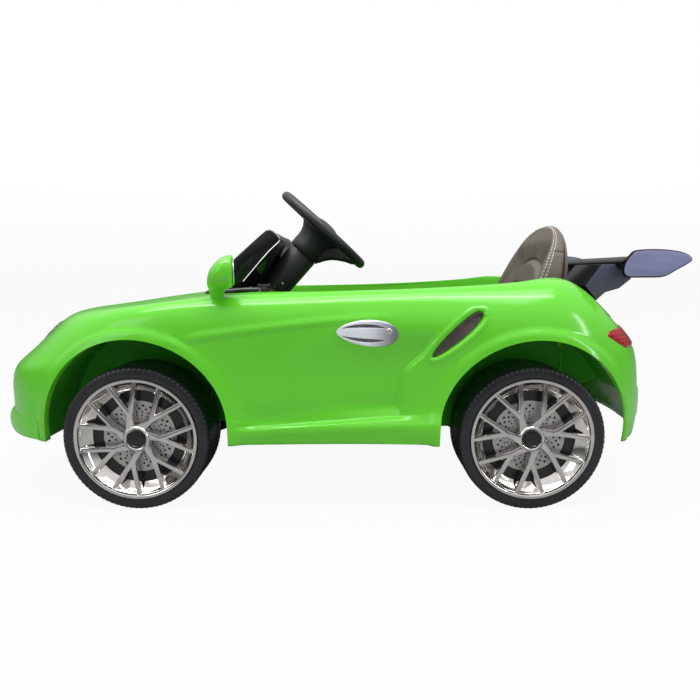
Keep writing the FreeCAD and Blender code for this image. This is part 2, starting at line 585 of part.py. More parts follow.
# Floor tray
# Flat moulded floor under the cockpit with a narrow tongue between each pair of wheels and two blocks that
# carry the rear axle.
tray = doc.addObject("PartDesign::Body", "tray")
half_plan = [("-tray_front", "tray_front_half"),
             ("-tray_floor_front - tray_front_half / 4", "tray_front_half"),
             ("-tray_floor_front", "tray_floor_half"), ("tray_floor_back", "tray_floor_half"),
             ("tray_floor_back + tray_back_half / 6", "tray_back_half"), ("tray_back", "tray_back_half")]
other_half = [(x, "-" + y) for x, y in reversed(half_plan)]
plan = polygon(tray, "tray_plan", "XY_Plane", half_plan + other_half)
floor_pad = tray.newObject("PartDesign::Pad", "tray_floor")
floor_pad.Profile = plan
bind(floor_pad, Length="tray_wall")
place(tray, z="shell_bottom - tray_wall")
AXLE_Z = "wheel_radius"
block_x = (REAR_X + " - axle_block_half", REAR_X + " + axle_block_half")
block_z = ("shell_bottom", "axle_block_top")
axle_block = box("axle_block", block_x, ("axle_block_inner", "axle_block_outer"), block_z)
axle_block_twin = box("axle_block_twin", block_x, ("-axle_block_outer", "-axle_block_inner"), block_z)
bore_span = ("-axle_block_outer - overrun", "axle_block_outer + overrun")
axle_bore = rod("axle_bore", "y", "axle_radius + running_gap", bore_span, x=REAR_X, z=AXLE_Z)
node(cut("floor_tray", fuse("floor_blank", tray, axle_block, axle_block_twin), axle_bore), "floor_tray")

# Front axle bracket
# Steel channel across the floor tray with two pairs of lugs for the kingpins.
bracket_x = (FRONT_X + " - bracket_half", FRONT_X + " + bracket_half")
lug_y = "kingpin_y + lug_margin"
bracket_top = "wheel_radius + lug_rise"
bracket_low = "wheel_radius - lug_drop"
top_under = bracket_top + " - lug_wall"
bars = [box("bracket_bar", bracket_x, ("-bracket_end", "bracket_end"), ("shell_bottom", top_under)),
        box("bracket_top", bracket_x, ("-kingpin_y - lug_margin", lug_y), (top_under, bracket_top))]
bracket_sides = [
    ("right", ("bracket_end", "bracket_end + bracket_end_wall"), ("bracket_end", lug_y)),
    ("left", ("-bracket_end - bracket_end_wall", "-bracket_end"),
     ("-kingpin_y - lug_margin", "-bracket_end"))]
for side, end_span, lug_span in bracket_sides:
    bars.append(box("bracket_end_" + side, bracket_x, end_span, (bracket_low, bracket_top)))
    bars.append(box("bracket_lug_" + side, bracket_x, lug_span, (bracket_low, bracket_low + " + lug_wall")))
pin_span = (bracket_low + " - overrun", bracket_top + " + overrun")
pin_bores = [rod("kingpin_bore_" + side, "z", "kingpin_radius + running_gap", pin_span, x=FRONT_X, y=y)
             for side, y in (("right", "kingpin_y"), ("left", "-kingpin_y"))]
channel_x = (FRONT_X + " - bracket_half + bracket_wall", FRONT_X + " + bracket_half - bracket_wall")
channel_room = box("channel_room", channel_x, ("-bracket_end", "bracket_end"),
                   ("shell_bottom - overrun", top_under))
bracket = cut("front_axle_bracket", fuse("bracket_bars", *bars), channel_room, *pin_bores)
node(bracket, "front_axle_bracket")

# Steering knuckles
# Kingpin, stub axle, steering arm and rod pin welded into one steel piece for each front wheel.
collar_span = (bracket_low + " + lug_wall + axial_gap", bracket_top + " - lug_wall - axial_gap")
arm_low = "wheel_radius + arm_rise"
arm_x = "(nose_to_axle - half_length + arm_length)"
hub_face = "half_track - hub_inner - axial_gap"
axle_end = "half_track + hub_outer + axial_gap + nut_length"
kingpin_span = (bracket_low + " - kingpin_stand", bracket_top + " + kingpin_stand")
arm_pin_span = (arm_low, arm_low + " + arm_wall + arm_pin_height")
knuckle = fuse(
    "knuckle",
    rod("kingpin", "z", "kingpin_radius", kingpin_span, x=FRONT_X, y="kingpin_y"),
    rod("kingpin_collar", "z", "collar_radius", collar_span, x=FRONT_X, y="kingpin_y"),
    rod("stub_axle", "y", "axle_radius", ("kingpin_y", axle_end), x=FRONT_X, z=AXLE_Z),
    rod("stub_spacer", "y", "spacer_radius", ("kingpin_y", hub_face), x=FRONT_X, z=AXLE_Z),
    box("steering_arm", (FRONT_X, arm_x + " + arm_half"), ("kingpin_y - arm_half", "kingpin_y + arm_half"),
        (arm_low, arm_low + " + arm_wall")),
    rod("arm_pin", "z", "arm_pin_radius", arm_pin_span, x=arm_x, y="kingpin_y"))
node(knuckle, "knuckle_right")
node(mirrored("knuckle_mirror", knuckle), "knuckle_left")


def nut(name, x, low, high):
    """A collar nut clamped on the end of an axle."""
    ring = rod(name + "_ring", "y", "nut_radius", (low, high), x=x, z=AXLE_Z)
    bore = rod(name + "_bore", "y", "axle_radius", (low + " - overrun", high + " + overrun"), x=x, z=AXLE_Z)
    return cut(name, ring, bore)


nut_low = "half_track + hub_outer + axial_gap"
front_nut = node(nut("front_nut", FRONT_X, nut_low, axle_end), "axle_nut_front_right")
node(mirrored("front_nut_mirror", front_nut), "axle_nut_front_left")

# Rear axle and drive
# Straight steel axle through the blocks; the wheels turn on it, each beside its geared motor.
axle_span = ("-half_track - hub_outer - axial_gap - nut_length", axle_end)
node(rod("rear_axle", "y", "axle_radius", axle_span, x=REAR_X, z=AXLE_Z), "rear_axle")
rear_nut = nut("rear_nut", REAR_X, nut_low, axle_end)
rear_nuts = doc.addObject("Part::Compound", "rear_nuts")
rear_nuts.Links = [rear_nut, mirrored("rear_nut_mirror", rear_nut)]
node(rear_nuts, "rear_axle_nuts")
motor_x = "(half_length - tail_to_axle + motor_shift)"
motor_z = "wheel_radius + motor_rise"
gear_span = ("gear_inner", "gear_outer")
can_span = ("gear_inner - motor_length", "gear_inner")
gear_bore_span = ("gear_inner - overrun", "gear_outer + overrun")
gear_bore = rod("gear_bore", "y", "axle_radius + running_gap", gear_bore_span, x=REAR_X, z=AXLE_Z)
gear_case = fuse("gear_case", rod("gear_drum", "y", "gear_radius", gear_span, x=REAR_X, z=AXLE_Z),
                 rod("motor_boss", "y", "motor_boss", gear_span, x=motor_x, z=motor_z),
                 rod("motor_can", "y", "motor_radius", can_span, x=motor_x, z=motor_z))
drive = node(cut("drive_unit", gear_case, gear_bore), "drive_unit_right")
node(mirrored("drive_mirror", drive), "drive_unit_left")
node(box("battery", ("battery_front", "battery_front + battery_length"), ("-battery_half", "battery_half"),
         ("shell_bottom", "shell_bottom + battery_height")), "battery")
node(box("control_box", ("-control_front", "control_length - control_front"),
         ("-control_half", "control_half"), ("shell_bottom", "shell_bottom + control_height")), "control_box")

# Tie rod
# Flat steel bar between the steering arms with a slotted eye at each end and a thick slotted middle that
# the crank pin drives.
rod_x = arm_x + " - rod_shift"
rod_low = arm_low + " + arm_wall + rod_lift"
rod_span = ("-kingpin_y - arm_half - rod_slot_half", "kingpin_y + arm_half + rod_slot_half")
rod_bar = box("rod_bar", (rod_x + " - rod_half", rod_x + " + rod_half"), rod_span,
              (rod_low, rod_low + " + rod_wall"))
rod_block = box("rod_block", (rod_x + " - rod_block_half", rod_x + " + rod_block_half"),
                ("-rod_block_width", "rod_block_width"),
                (rod_low + " - rod_block_wall", rod_low + " + rod_wall + rod_block_wall"))
rod_slots = [box("rod_slot_" + side, (rod_x + " - rod_slot_length", rod_x + " + rod_slot_length"),
                 (y + " - rod_slot_half", y + " + rod_slot_half"),
                 (rod_low + " - overrun", rod_low + " + overrun"))
             for side, y in (("right", "kingpin_y"), ("left", "-kingpin_y"))]
crank_slot = doc.addObject("Part::Box", "crank_slot")
bind(crank_slot, Length="crank_slot_outer - crank_slot_inner", Width="2 * crank_slot_half",
     Height="crank_pin")
slot_drop = "(crank_pin + overrun)"
place(crank_slot, axis=Vector(0, 1, 0), angle="column_tilt", y="-crank_slot_half",
      x="-wheel_centre_x - %s * sin(column_tilt) + crank_slot_inner * cos(column_tilt)" % slot_drop,
      z="wheel_centre_z - %s * cos(column_tilt) - crank_slot_inner * sin(column_tilt)" % slot_drop)
node(cut("tie_rod", fuse("rod_blank", rod_bar, rod_block), crank_slot, *rod_slots), "tie_rod")

# Steering shaft and wheel
# Cranked steel shaft in the column housing; the wheel's boss is pinned on its top end.
shaft = fuse("shaft", rod("shaft_bar", "z", "shaft_radius", ("-crank_low", "-shaft_top")),
             box("crank_bar", ("-shaft_radius", "crank_radius + shaft_radius"),
                 ("-shaft_radius", "shaft_radius"), ("-crank_low", "crank_wall - crank_low")),
             rod("crank_pin", "z", "crank_pin_radius", ("-crank_pin", "-crank_low"), x="crank_radius"))
node(on_column(shaft), "steering_shaft")
rim = doc.addObject("Part::Torus", "rim")
bind(rim, Radius1="rim_ring", Radius2="rim_radius")
boss = doc.addObject("Part::Cone", "boss")
bind(boss, Radius1="boss_small", Radius2="boss_large", Height="boss_low - boss_high")
place(boss, z="-boss_low")
hub = rod("wheel_hub", "z", "boss_large", ("-boss_high", "rim_hub_top"))
bar_span = ("-spoke_width / 2", "spoke_width / 2")
cross_bar = box("cross_bar", bar_span, ("-rim_ring", "rim_ring"), ("-spoke_wall", "0"))
low_bar = box("low_bar", ("0", "rim_ring"), bar_span, ("-spoke_wall", "0"))
shaft_bore = rod("shaft_bore", "z", "shaft_radius + running_gap", ("-crank_low", "-shaft_top + running_gap"))
horn_bore = rod("horn_bore", "z", "horn_stem + running_gap", ("-horn_well", "overrun"))
wheel_sum = fuse("wheel_sum", rim, boss, hub, cross_bar, low_bar)
steering_wheel = cut("wheel_blank", wheel_sum, shaft_bore, horn_bore)
node(on_column(steering_wheel), "steering_wheel")
horn = fuse("horn", rod("horn_disc", "z", "horn_radius", ("horn_lift", "horn_top")),
            rod("horn_post", "z", "horn_stem", ("-horn_stem_low", "horn_top")))
node(on_column(horn), "horn_pad")
housing_bore = rod("housing_bore", "z", "shaft_radius + running_gap", ("-housing_low - overrun", "0"))
column_tube = rod("column_tube", "z", "housing_radius", ("-housing_low", "-housing_high"))
node(on_column(cut("column", column_tube, housing_bore)), "column_housing")

# Dashboard
# Black moulding on the cowl: a flat shelf with the switches and a thick visor that leans back.
shelf = box("shelf", ("-dash_front", "-dash_back"), ("-dash_half", "dash_half"), ("dash_low", "dash_top"))
visor = doc.addObject("Part::Box", "visor")
bind(visor, Length="visor_wall", Width="2 * visor_half", Height="visor_length")
place(visor, x="-visor_foot", y="-visor_half", z="dash_top - visor_wall / 6", axis=Vector(0, 1, 0),
      angle="visor_lean")
button_bore = rod("button_bore", "z", "button_stem + running_gap",
                  ("dash_low - overrun", "dash_top + overrun"), x="-switch_x", y="switch_y")
rocker_gap_x = "rocker_length + rocker_length_gap"
rocker_gap_y = "rocker_half + rocker_side_gap"
rocker_well = box("rocker_well",
                  ("-switch_x - rocker_length - rocker_length_gap", "%s - switch_x" % rocker_gap_x),
                  ("-switch_y - rocker_half - rocker_side_gap", "%s - switch_y" % rocker_gap_y),
                  ("dash_top - rocker_well", "dash_top + overrun"))
column_room = rod("column_room", "z", "housing_radius + rest_gap", ("0", "housing_low + overrun"))
on_column(column_room, drop="housing_low + overrun")
doc.recompute()
cowl = doc.addObject("Part::Feature", "cowl")
cowl.Shape = trim_form
blank = fuse("dash_blank", shelf, visor)
dash = cut("dash", blank, button_bore, rocker_well, column_room)
node(cut("dash_on_cowl", dash, cowl), "dashboard")
button_under = "dash_top + button_lift"
button_cap = rod("button_cap", "z", "button_radius", (button_under, button_under + " + button_wall"),
                 x="-switch_x", y="switch_y")
button_post = rod("button_post", "z", "button_stem", ("dash_top - button_low", button_under),
                  x="-switch_x", y="switch_y")
node(fuse("button", button_cap, button_post), "power_button")
rocker = box("rocker", ("-switch_x - rocker_length", "rocker_length - switch_x"),
             ("-switch_y - rocker_half", "rocker_half - switch_y"),
             ("dash_top - rocker_down", "dash_top + rocker_up"))
node(rocker, "direction_switch")

# Accelerator pedal
# Sloping plate hinged at the heel on a pin between two ears of a floor plate.
hinge_z = "shell_bottom + pedal_rise"
ear_x = ("-pedal_heel - pedal_barrel", "pedal_barrel - pedal_heel")
ear_z = ("shell_bottom", hinge_z + " + pedal_barrel")
ear_inside, ear_outside = "pedal_inner - pedal_ear - axial_gap", "pedal_outer + pedal_ear + axial_gap"
pedal_base = fuse(
    "pedal_base",
    box("pedal_floor", ("-pedal_heel - pedal_length", "pedal_barrel - pedal_heel"), (ear_inside, ear_outside),
        ("shell_bottom", "shell_bottom + pedal_base")),
    box("pedal_ear_inner", ear_x, (ear_inside, "pedal_inner - axial_gap"), ear_z),
    box("pedal_ear_outer", ear_x, ("pedal_outer + axial_gap", ear_outside), ear_z),
    rod("pedal_axis", "y", "pedal_pin", ("pedal_inner - pedal_ear", "pedal_outer + pedal_ear"),
        x="-pedal_heel", z=hinge_z))
node(pedal_base, "pedal_base")
plate = box("pedal_plate", ("-pedal_length", "0"), ("pedal_inner", "pedal_outer"),
            ("-pedal_wall / 2", "pedal_wall / 2"))
barrel = rod("pedal_barrel", "y", "pedal_barrel", ("pedal_inner", "pedal_outer"))
pedal_bore = rod("pedal_bore", "y", "pedal_pin + running_gap",
                 ("pedal_inner - overrun", "pedal_outer + overrun"))
pedal = cut("pedal", fuse("pedal_blank", plate, barrel), pedal_bore)
place(pedal, x="-pedal_heel", z=hinge_z, axis=Vector(0, 1, 0), angle="pedal_slope")
node(pedal, "accelerator_pedal")

# Seat
# Moulded seat box with a ledge behind it, a padded cushion, and a padded backrest on a moulded back.
seat_top = "shell_bottom + seat_height"
seat_y = ("-seat_half", "seat_half")
seat_box = box("seat_box", ("seat_front", "seat_back"), seat_y, ("shell_bottom", seat_top))
seat_room = box("seat_room", ("seat_front + seat_wall", "seat_back - seat_wall"),
                ("seat_wall - seat_half", "seat_half - seat_wall"),
                ("shell_bottom - overrun", seat_top + " - seat_wall"))
ledge_top = seat_top + " - ledge_drop"
seat_ledge = box("seat_ledge", ("seat_back - seat_wall", "seat_back + ledge_reach"), seat_y,
                 (ledge_top + " - ledge_wall", ledge_top))
axle_notch = box("axle_notch", (REAR_X + " - axle_notch", REAR_X + " + axle_notch"),
                 ("-seat_half - overrun", "seat_half + overrun"),
                 ("shell_bottom - overrun", AXLE_Z + " + axle_notch"))
socket_hole = rod("socket_hole", "x", "socket_radius",
                  ("seat_front - overrun", "seat_front + seat_wall + overrun"), y="socket_y", z="socket_z")
seat_blank = fuse("seat_blank", cut("seat_hollow", seat_box, seat_room), seat_ledge)
node(cut("seat_base", seat_blank, axle_notch, socket_hole), "seat_base")
socket_body = rod("socket_body", "x", "socket_radius", ("seat_front", "seat_front + socket_length"),
                  y="socket_y", z="socket_z")
socket_well = rod("socket_well", "x", "socket_bore", ("seat_front - overrun", "seat_front + socket_depth"),
                  y="socket_y", z="socket_z")
node(cut("socket", socket_body, socket_well), "charge_socket")


def round_rect(x_low, x_high, half, z, corner):
    """A rounded rectangle, level, from lines and arcs."""
    turn = corner * (1 - math.sqrt(0.5))
    spans = [(x_low, -half, 1, 1), (x_high, -half, -1, 1), (x_high, half, -1, -1), (x_low, half, 1, -1)]
    arcs = []
    for index, (x, y, to_x, to_y) in enumerate(spans):
        flat = [Vector(x, y + to_y * corner, z), Vector(x + to_x * corner, y, z)]
        first, last = flat if index % 2 == 0 else flat[::-1]
        arcs.append(Part.Arc(first, Vector(x + to_x * turn, y + to_y * turn, z), last))
    edges = []
    for index, arc in enumerate(arcs):
        edges.append(arc.toShape())
        edges.append(Part.makeLine(arc.EndPoint, arcs[(index + 1) % len(arcs)].StartPoint))
    return Part.Wire(edges)


CUSHION_SHARES = [(0, .25), (.12, .06), (.35, 0), (.62, .02), (.85, .18), (.96, .5), (1, .85)]
cushion_low = mm("shell_bottom") + mm("seat_height") + mm("rest_gap")
sections = []
for up, drawn in CUSHION_SHARES:
    inset = drawn * mm("cushion_round")
    level = cushion_low + up * mm("cushion_height")
    sections.append(round_rect(mm("seat_front") + inset, mm("seat_front") + mm("cushion_length") - inset,
                               mm("cushion_half") - inset, level, mm("cushion_round")))
shaped("seat_cushion", Part.makeLoft(sections, True))


REST_SHARES = [(0, .36), (.08, .14), (.26, .02), (.6, 0), (.88, .04), (1, .16)]
REST_SHOULDER_SHARES = (.74, .72)


def rest_outline(depth, inset):
    """Upright outline of the backrest with an arched top, at one depth."""
    half, side, top = mm("rest_half") - inset, mm("rest_side"), mm("rest_top") - inset
    shoulder_y = half * REST_SHOULDER_SHARES[0]
    shoulder_z = side + (top - side) * REST_SHOULDER_SHARES[1]
    crown = Vector(depth, 0, top)
    left = Part.Arc(Vector(depth, -half, side), Vector(depth, -shoulder_y, shoulder_z), crown)
    right = Part.Arc(crown, Vector(depth, shoulder_y, shoulder_z), Vector(depth, half, side))
    low_left, low_right = Vector(depth, -half, inset), Vector(depth, half, inset)
    return Part.Wire([Part.makeLine(low_left, left.StartPoint), left.toShape(), right.toShape(),
                      Part.makeLine(right.EndPoint, low_right), Part.makeLine(low_right, low_left)])


rest_depth = mm("rest_depth")
rest_outlines = [rest_outline(deep * rest_depth, drawn * rest_depth) for deep, drawn in REST_SHARES]
rest = Part.makeLoft(rest_outlines, True)
shell_front = rest_depth + mm("rest_gap")
shell_rear = shell_front + mm("rest_shell_wall")
back_outlines = [rest_outline(shell_front, 0), rest_outline(shell_rear, mm("rest_shell_wall") / 2)]
back = Part.makeLoft(back_outlines, True, True)
lean = FreeCAD.Placement(Vector(mm("rest_x"), 0, mm("rest_z")),
                         FreeCAD.Rotation(Vector(0, 1, 0), mm("rest_lean")))
shaped("backrest_cushion", rest).Placement = lean
back.Placement = lean
back = back.cut(trim_form)
shaped("seat_back_shell", max(back.Solids, key=lambda solid: solid.Volume))

# Spoiler
# Black deck cover with two swept pylons that carry a wing with an end plate at each side.
PYLON_SHARES = [(0, 0), (.32, 1), (.59, 1), (.60, .58), (1, .58), (.95, .33), (.70, -.03), (.45, -.22),
                (.27, -.67)]
PYLON_TOP_SHARE = .58
WING_SHARES = [(.97, .62), (.60, .92), (.30, 1), (.10, .93), (0, .55), (.07, .12), (.28, 0), (.60, .14)]
PLATE_SHARES = [(0, .28), (.11, .98), (.53, 1), (.92, .82), (1, .65), (.95, .5), (.60, .03), (.08, 0),
                (0, .12)]
wing_long = mm("half_length") - mm("wing_front")
wing_tall = mm("wing_top") - mm("wing_low")
blade_curve = Part.BSplineCurve()
blade_points = [Vector(mm("wing_front") + along * wing_long, -mm("wing_half"),
                       mm("wing_low") + up * wing_tall) for along, up in WING_SHARES]
blade_curve.interpolate(blade_points, PeriodicFlag=True)
blade = Part.Face(Part.Wire([blade_curve.toShape()])).extrude(Vector(0, 2 * mm("wing_half"), 0))
blade_under = blade.optimalBoundingBox().ZMin
pylon_rise = (blade_under - mm("trim_gap") - mm("pylon_z")) / PYLON_TOP_SHARE
pylon_points = [Vector(mm("pylon_x") + along * mm("pylon_reach"), mm("pylon_inner"),
                       mm("pylon_z") + up * pylon_rise) for along, up in PYLON_SHARES]
pylon = outline_prism(pylon_points, Vector(0, mm("pylon_outer") - mm("pylon_inner"), 0)).cut(trim_form)
deck_plan = block(Vector(mm("deck_front"), -mm("pylon_outer"), mm("shell_bottom")),
                  Vector(mm("deck_back"), mm("pylon_outer"), mm("rim_peak") + mm("overrun")))
deck = body_form(mm("deck_skin")).cut(trim_form).common(deck_plan)
shaped("spoiler_base", deck.fuse(both_sides(pylon)).removeSplitter())
plate_tall = mm("plate_top") - mm("plate_low")
plate_points = [Vector(mm("wing_front") + along * wing_long, mm("wing_half") - mm("plate_wall"),
                       mm("plate_low") + up * plate_tall) for along, up in PLATE_SHARES]
end_plate = outline_prism(plate_points, Vector(0, mm("plate_wall"), 0))
shaped("spoiler_wing", blade.fuse(both_sides(end_plate)))

# Wheels
# Each wheel is a hollow black moulding with tread ring, web and hub. A chrome cover with seven forked spokes
# snaps into its outer face over a printed brake disc, and a plain cap closes the cover's middle.
SPOKE_COUNT = 7
HOLE_COUNT = 14


def origin_part(body, role):
    return next(item for item in body.Origin.OriginFeatures if item.Role == role)


def turned(body, name, corners):
    """A revolved feature from a section whose first coordinate is the radius."""
    feature = body.newObject("PartDesign::Revolution", name)
    feature.Profile = polygon(body, name + "_section", "XY_Plane", corners)
    feature.ReferenceAxis = (origin_part(body, "Y_Axis"), [""])
    feature.Angle = 360
    return feature


def repeated(body, name, feature, count):
    """Repeats a feature evenly round the wheel's axis."""
    pattern = body.newObject("PartDesign::PolarPattern", name)
    pattern.Originals = [feature]
    pattern.Axis = (origin_part(body, "Y_Axis"), [""])
    pattern.Angle = 360
    pattern.Occurrences = count
    body.Tip = pattern
    return pattern


def tyre_body(name):
    body = doc.addObject("PartDesign::Body", name)
    side = "tyre_width / 2"
    turned(body, name + "_ring", [
        ("axle_radius + running_gap", "-hub_inner"), ("hub_radius", "-hub_inner"),
        ("hub_radius", "web_outer - web_wall"),
        ("wheel_radius - tread_wall", "web_outer - web_wall"), ("wheel_radius - tread_wall", "-" + side),
        ("wheel_radius - tyre_shoulder", "-" + side), ("wheel_radius", "tyre_shoulder - " + side),
        ("wheel_radius", side + " - tyre_shoulder"), ("wheel_radius - tyre_shoulder", side),
        ("dish_radius", side),
        ("dish_radius", "web_outer"), ("hub_radius", "web_outer"), ("hub_radius", "hub_outer"),
        ("axle_radius + running_gap", "hub_outer")])
    return body


def disc_body(name):
    body = doc.addObject("PartDesign::Body", name)
    low, high = "web_outer + running_gap", "web_outer + running_gap + disc_wall"
    turned(body, name + "_plate",
           [("disc_hub", low), ("disc_radius", low), ("disc_radius", high), ("disc_hub", high)])
    drill = body.newObject("PartDesign::Pocket", name + "_hole")
    square = [("-disc_hole", "disc_hole_circle - disc_hole"), ("disc_hole", "disc_hole_circle - disc_hole"),
              ("disc_hole", "disc_hole_circle + disc_hole"), ("-disc_hole", "disc_hole_circle + disc_hole")]
    drill.Profile = polygon(body, name + "_hole_outline", "XZ_Plane", square)
    drill.Type = "ThroughAll"
    drill.Midplane = True
    repeated(body, name + "_holes", drill, HOLE_COUNT)
    return body


def cover_body(name):
    body = doc.addObject("PartDesign::Body", name)
    back = "web_outer + trim_gap"
    hub_back = "hub_outer + trim_gap"
    cap_seat = "cover_hub_front - cap_wall - trim_gap"
    cap_room = "cap_radius + trim_gap"
    turned(body, name + "_lip", [("cover_barrel", back), ("cover_lip_inner", "cover_front"),
                                 ("cover_lip", "cover_front"), ("cover_lip", back)])
    turned(body, name + "_hub", [("cover_hub_bore", hub_back), ("cover_hub", hub_back),
                                 ("cover_hub", "cover_hub_front"), (cap_room, "cover_hub_front"),
                                 (cap_room, cap_seat), ("cover_hub_bore", cap_seat)])
    fork = body.newObject("PartDesign::Pad", name + "_spoke")
    root = "cover_hub - spoke_half / 2"
    crotch, shoulder = "fork_radius + spoke_half", "fork_radius - spoke_half"
    tip = "cover_barrel + prong_half"
    outline = polygon(body, name + "_spoke_outline", "XZ_Plane", [
        ("-spoke_half", root), ("spoke_half", root), ("spoke_half", shoulder),
        ("prong_spread + prong_half", tip), ("prong_spread - prong_half", tip), ("0", crotch),
        ("prong_half - prong_spread", tip), ("-prong_spread - prong_half", tip), ("-spoke_half", shoulder)])
    outline.setExpression("AttachmentOffset.Base.z", formula("-spoke_back"))
    fork.Profile = outline
    fork.Reversed = True
    bind(fork, Length="spoke_front - spoke_back")
    repeated(body, name + "_spokes", fork, SPOKE_COUNT)
    return body


for end, axle in (("front", FRONT_X), ("rear", REAR_X)):
    for side, sign, turn in (("right", "", "0"), ("left", "-", "180")):
        corner = end + "_" + side
        for kind, maker in (("wheel", tyre_body), ("brake_disc", disc_body), ("hubcap", cover_body)):
            label = kind + "_" + corner
            piece = maker(label + "_body")
            place(piece, x=axle, y=sign + "half_track", z=AXLE_Z, axis=Vector(0, 0, 1), angle=turn)
            node(piece, label)
        cap_span = ["half_track + cover_hub_front - cap_wall", "half_track + cover_hub_front"]
        if sign:
            cap_span = ["-half_track - cover_hub_front", "cap_wall - half_track - cover_hub_front"]
        cap = rod("cap_" + corner, "y", "cap_radius", cap_span, x=axle, z=AXLE_Z)
        node(cap, "centre_cap_" + corner)

# Writing the sub-parts
doc.recompute()
for thing in doc.Objects:
    if "Invalid" in thing.State or "Error" in thing.State:
        raise RuntimeError("%s did not build: %s" % (thing.Label, thing.State))
os.makedirs("parts", exist_ok=True)
for thing in nodes:
    shape = thing.Shape
    if shape.isNull() or not shape.isValid() or not shape.Solids:
        raise RuntimeError("%s has no valid solid" % thing.Label)
    shape.exportStep("parts/%s.step" % thing.Label)
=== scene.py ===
import math

import bmesh
import bpy
import numpy
from mathutils import Matrix, Vector
from mathutils.bvhtree import BVHTree


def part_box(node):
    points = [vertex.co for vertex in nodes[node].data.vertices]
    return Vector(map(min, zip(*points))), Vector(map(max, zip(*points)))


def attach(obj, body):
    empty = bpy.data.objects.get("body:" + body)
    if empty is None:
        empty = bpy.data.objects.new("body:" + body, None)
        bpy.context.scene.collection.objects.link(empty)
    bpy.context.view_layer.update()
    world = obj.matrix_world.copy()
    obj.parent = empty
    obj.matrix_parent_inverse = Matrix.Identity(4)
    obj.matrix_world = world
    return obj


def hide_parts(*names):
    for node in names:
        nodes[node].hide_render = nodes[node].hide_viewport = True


# A child's electric ride-on car: lime green moulded body, black dashboard and spoiler, leatherette seat,
# and black plastic wheels under chrome spoked covers. Nose toward -X, left side toward -Y, metres.

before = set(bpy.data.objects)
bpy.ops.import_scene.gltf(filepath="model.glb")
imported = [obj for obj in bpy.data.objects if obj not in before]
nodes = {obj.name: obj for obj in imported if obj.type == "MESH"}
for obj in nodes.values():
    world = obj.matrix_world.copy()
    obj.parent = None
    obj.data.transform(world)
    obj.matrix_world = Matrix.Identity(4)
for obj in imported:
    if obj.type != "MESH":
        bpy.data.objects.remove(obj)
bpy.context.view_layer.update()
scene = bpy.context.scene


# Studio
# A pale seamless floor, one broad ceiling softbox with a narrow tube beside it, and two weak side lights. The
# camera stands level with the cockpit's rim, a little behind the middle of the car, and looks slightly down.
def srgb(code):
    """Linear colour from a hex code."""
    parts = [int(code[place:place + 2], 16) / 255 for place in (1, 3, 5)]
    linear = [part / 12.92 if part <= .04045 else ((part + .055) / 1.055) ** 2.4 for part in parts]
    return (*linear, 1)


def add_node(tree, kind, inputs=None, **settings):
    """Adds one node with its settings; an input takes a value or another node's output."""
    made = tree.nodes.new(kind)
    for name, value in settings.items():
        setattr(made, name, value)
    for socket, value in (inputs or {}).items():
        if isinstance(value, bpy.types.NodeSocket):
            tree.links.new(value, made.inputs[socket])
        else:
            made.inputs[socket].default_value = value
    return made


def link_object(name, data):
    """Puts a new object in the scene."""
    thing = bpy.data.objects.new(name, data)
    scene.collection.objects.link(thing)
    return thing


scene.view_settings.view_transform = "Standard"
CAMERA_PLACE = (.040, -1.102, .3745)
CAMERA_PITCH = 7.96
FOCAL_SHARE = 558 / 700
camera_data = bpy.data.cameras.new("camera")
camera_data.sensor_width = 36
camera_data.lens = FOCAL_SHARE * camera_data.sensor_width
camera = link_object("camera", camera_data)
camera.location = CAMERA_PLACE
camera.rotation_euler = (math.radians(90 - CAMERA_PITCH), 0, 0)
scene.camera = camera

LIGHTS = {
    "ceiling": ((-.1, -.35, 2.1), (2.6, 1.3), 34),
    "left_fill": ((-1.9, -1.7, 1.3), (1.2, 1.2), 7),
    "ceiling_tube": ((0, -.62, 1.8), (2.3, .05), 12),
    "rear_tube": ((1.9, -1.3, .8), (.1, 1.2), 6)}
LIGHT_TARGET = Vector((0, 0, .25))
for name, (place, size, watts) in LIGHTS.items():
    lamp_data = bpy.data.lights.new(name, "AREA")
    lamp_data.shape = "RECTANGLE"
    lamp_data.size, lamp_data.size_y = size
    lamp_data.energy = watts
    lamp = link_object(name, lamp_data)
    lamp.location = place
    lamp.rotation_euler = (LIGHT_TARGET - Vector(place)).to_track_quat("-Z", "Y").to_euler()

world = bpy.data.worlds.new("studio")
scene.world = world
world.use_nodes = True
tree = world.node_tree
tree.nodes.clear()
path = add_node(tree, "ShaderNodeLightPath")
coords = add_node(tree, "ShaderNodeTexCoord")
height = add_node(tree, "ShaderNodeSeparateXYZ", {"Vector": coords.outputs["Generated"]})
room = add_node(tree, "ShaderNodeValToRGB", {"Fac": height.outputs["Z"]})
ROOM_STOPS = [(0, .10), (.12, .17), (.34, .68), (.65, 1)]
BACKDROP_FOOT, BACKDROP_RISE, ROOM_GLOW = .955, .14, .52
stops = room.color_ramp.elements
while len(stops) < len(ROOM_STOPS):
    stops.new(1)
for stop, (share, grey) in zip(stops, ROOM_STOPS):
    stop.position = share
    stop.color = (grey, grey, grey, 1)
soft = add_node(tree, "ShaderNodeBackground", {"Color": srgb("#FFFFFF"), "Strength": ROOM_GLOW})
backdrop = add_node(tree, "ShaderNodeMapRange", {"Value": height.outputs["Z"], "From Max": BACKDROP_RISE,
                                                "To Min": BACKDROP_FOOT, "To Max": 1})
shown = add_node(tree, "ShaderNodeBackground", {"Color": srgb("#FFFFFF"), "Strength": backdrop.outputs[0]})
mirrored_room = add_node(tree, "ShaderNodeBackground", {"Color": room.outputs["Color"], "Strength": 1})
glossy = add_node(tree, "ShaderNodeMixShader", {0: path.outputs["Is Glossy Ray"], 1: soft.outputs[0],
                                                2: mirrored_room.outputs[0]})
direct = add_node(tree, "ShaderNodeMath", {0: path.outputs["Is Camera Ray"],
                                           1: path.outputs["Is Transmission Ray"]}, operation="MAXIMUM")
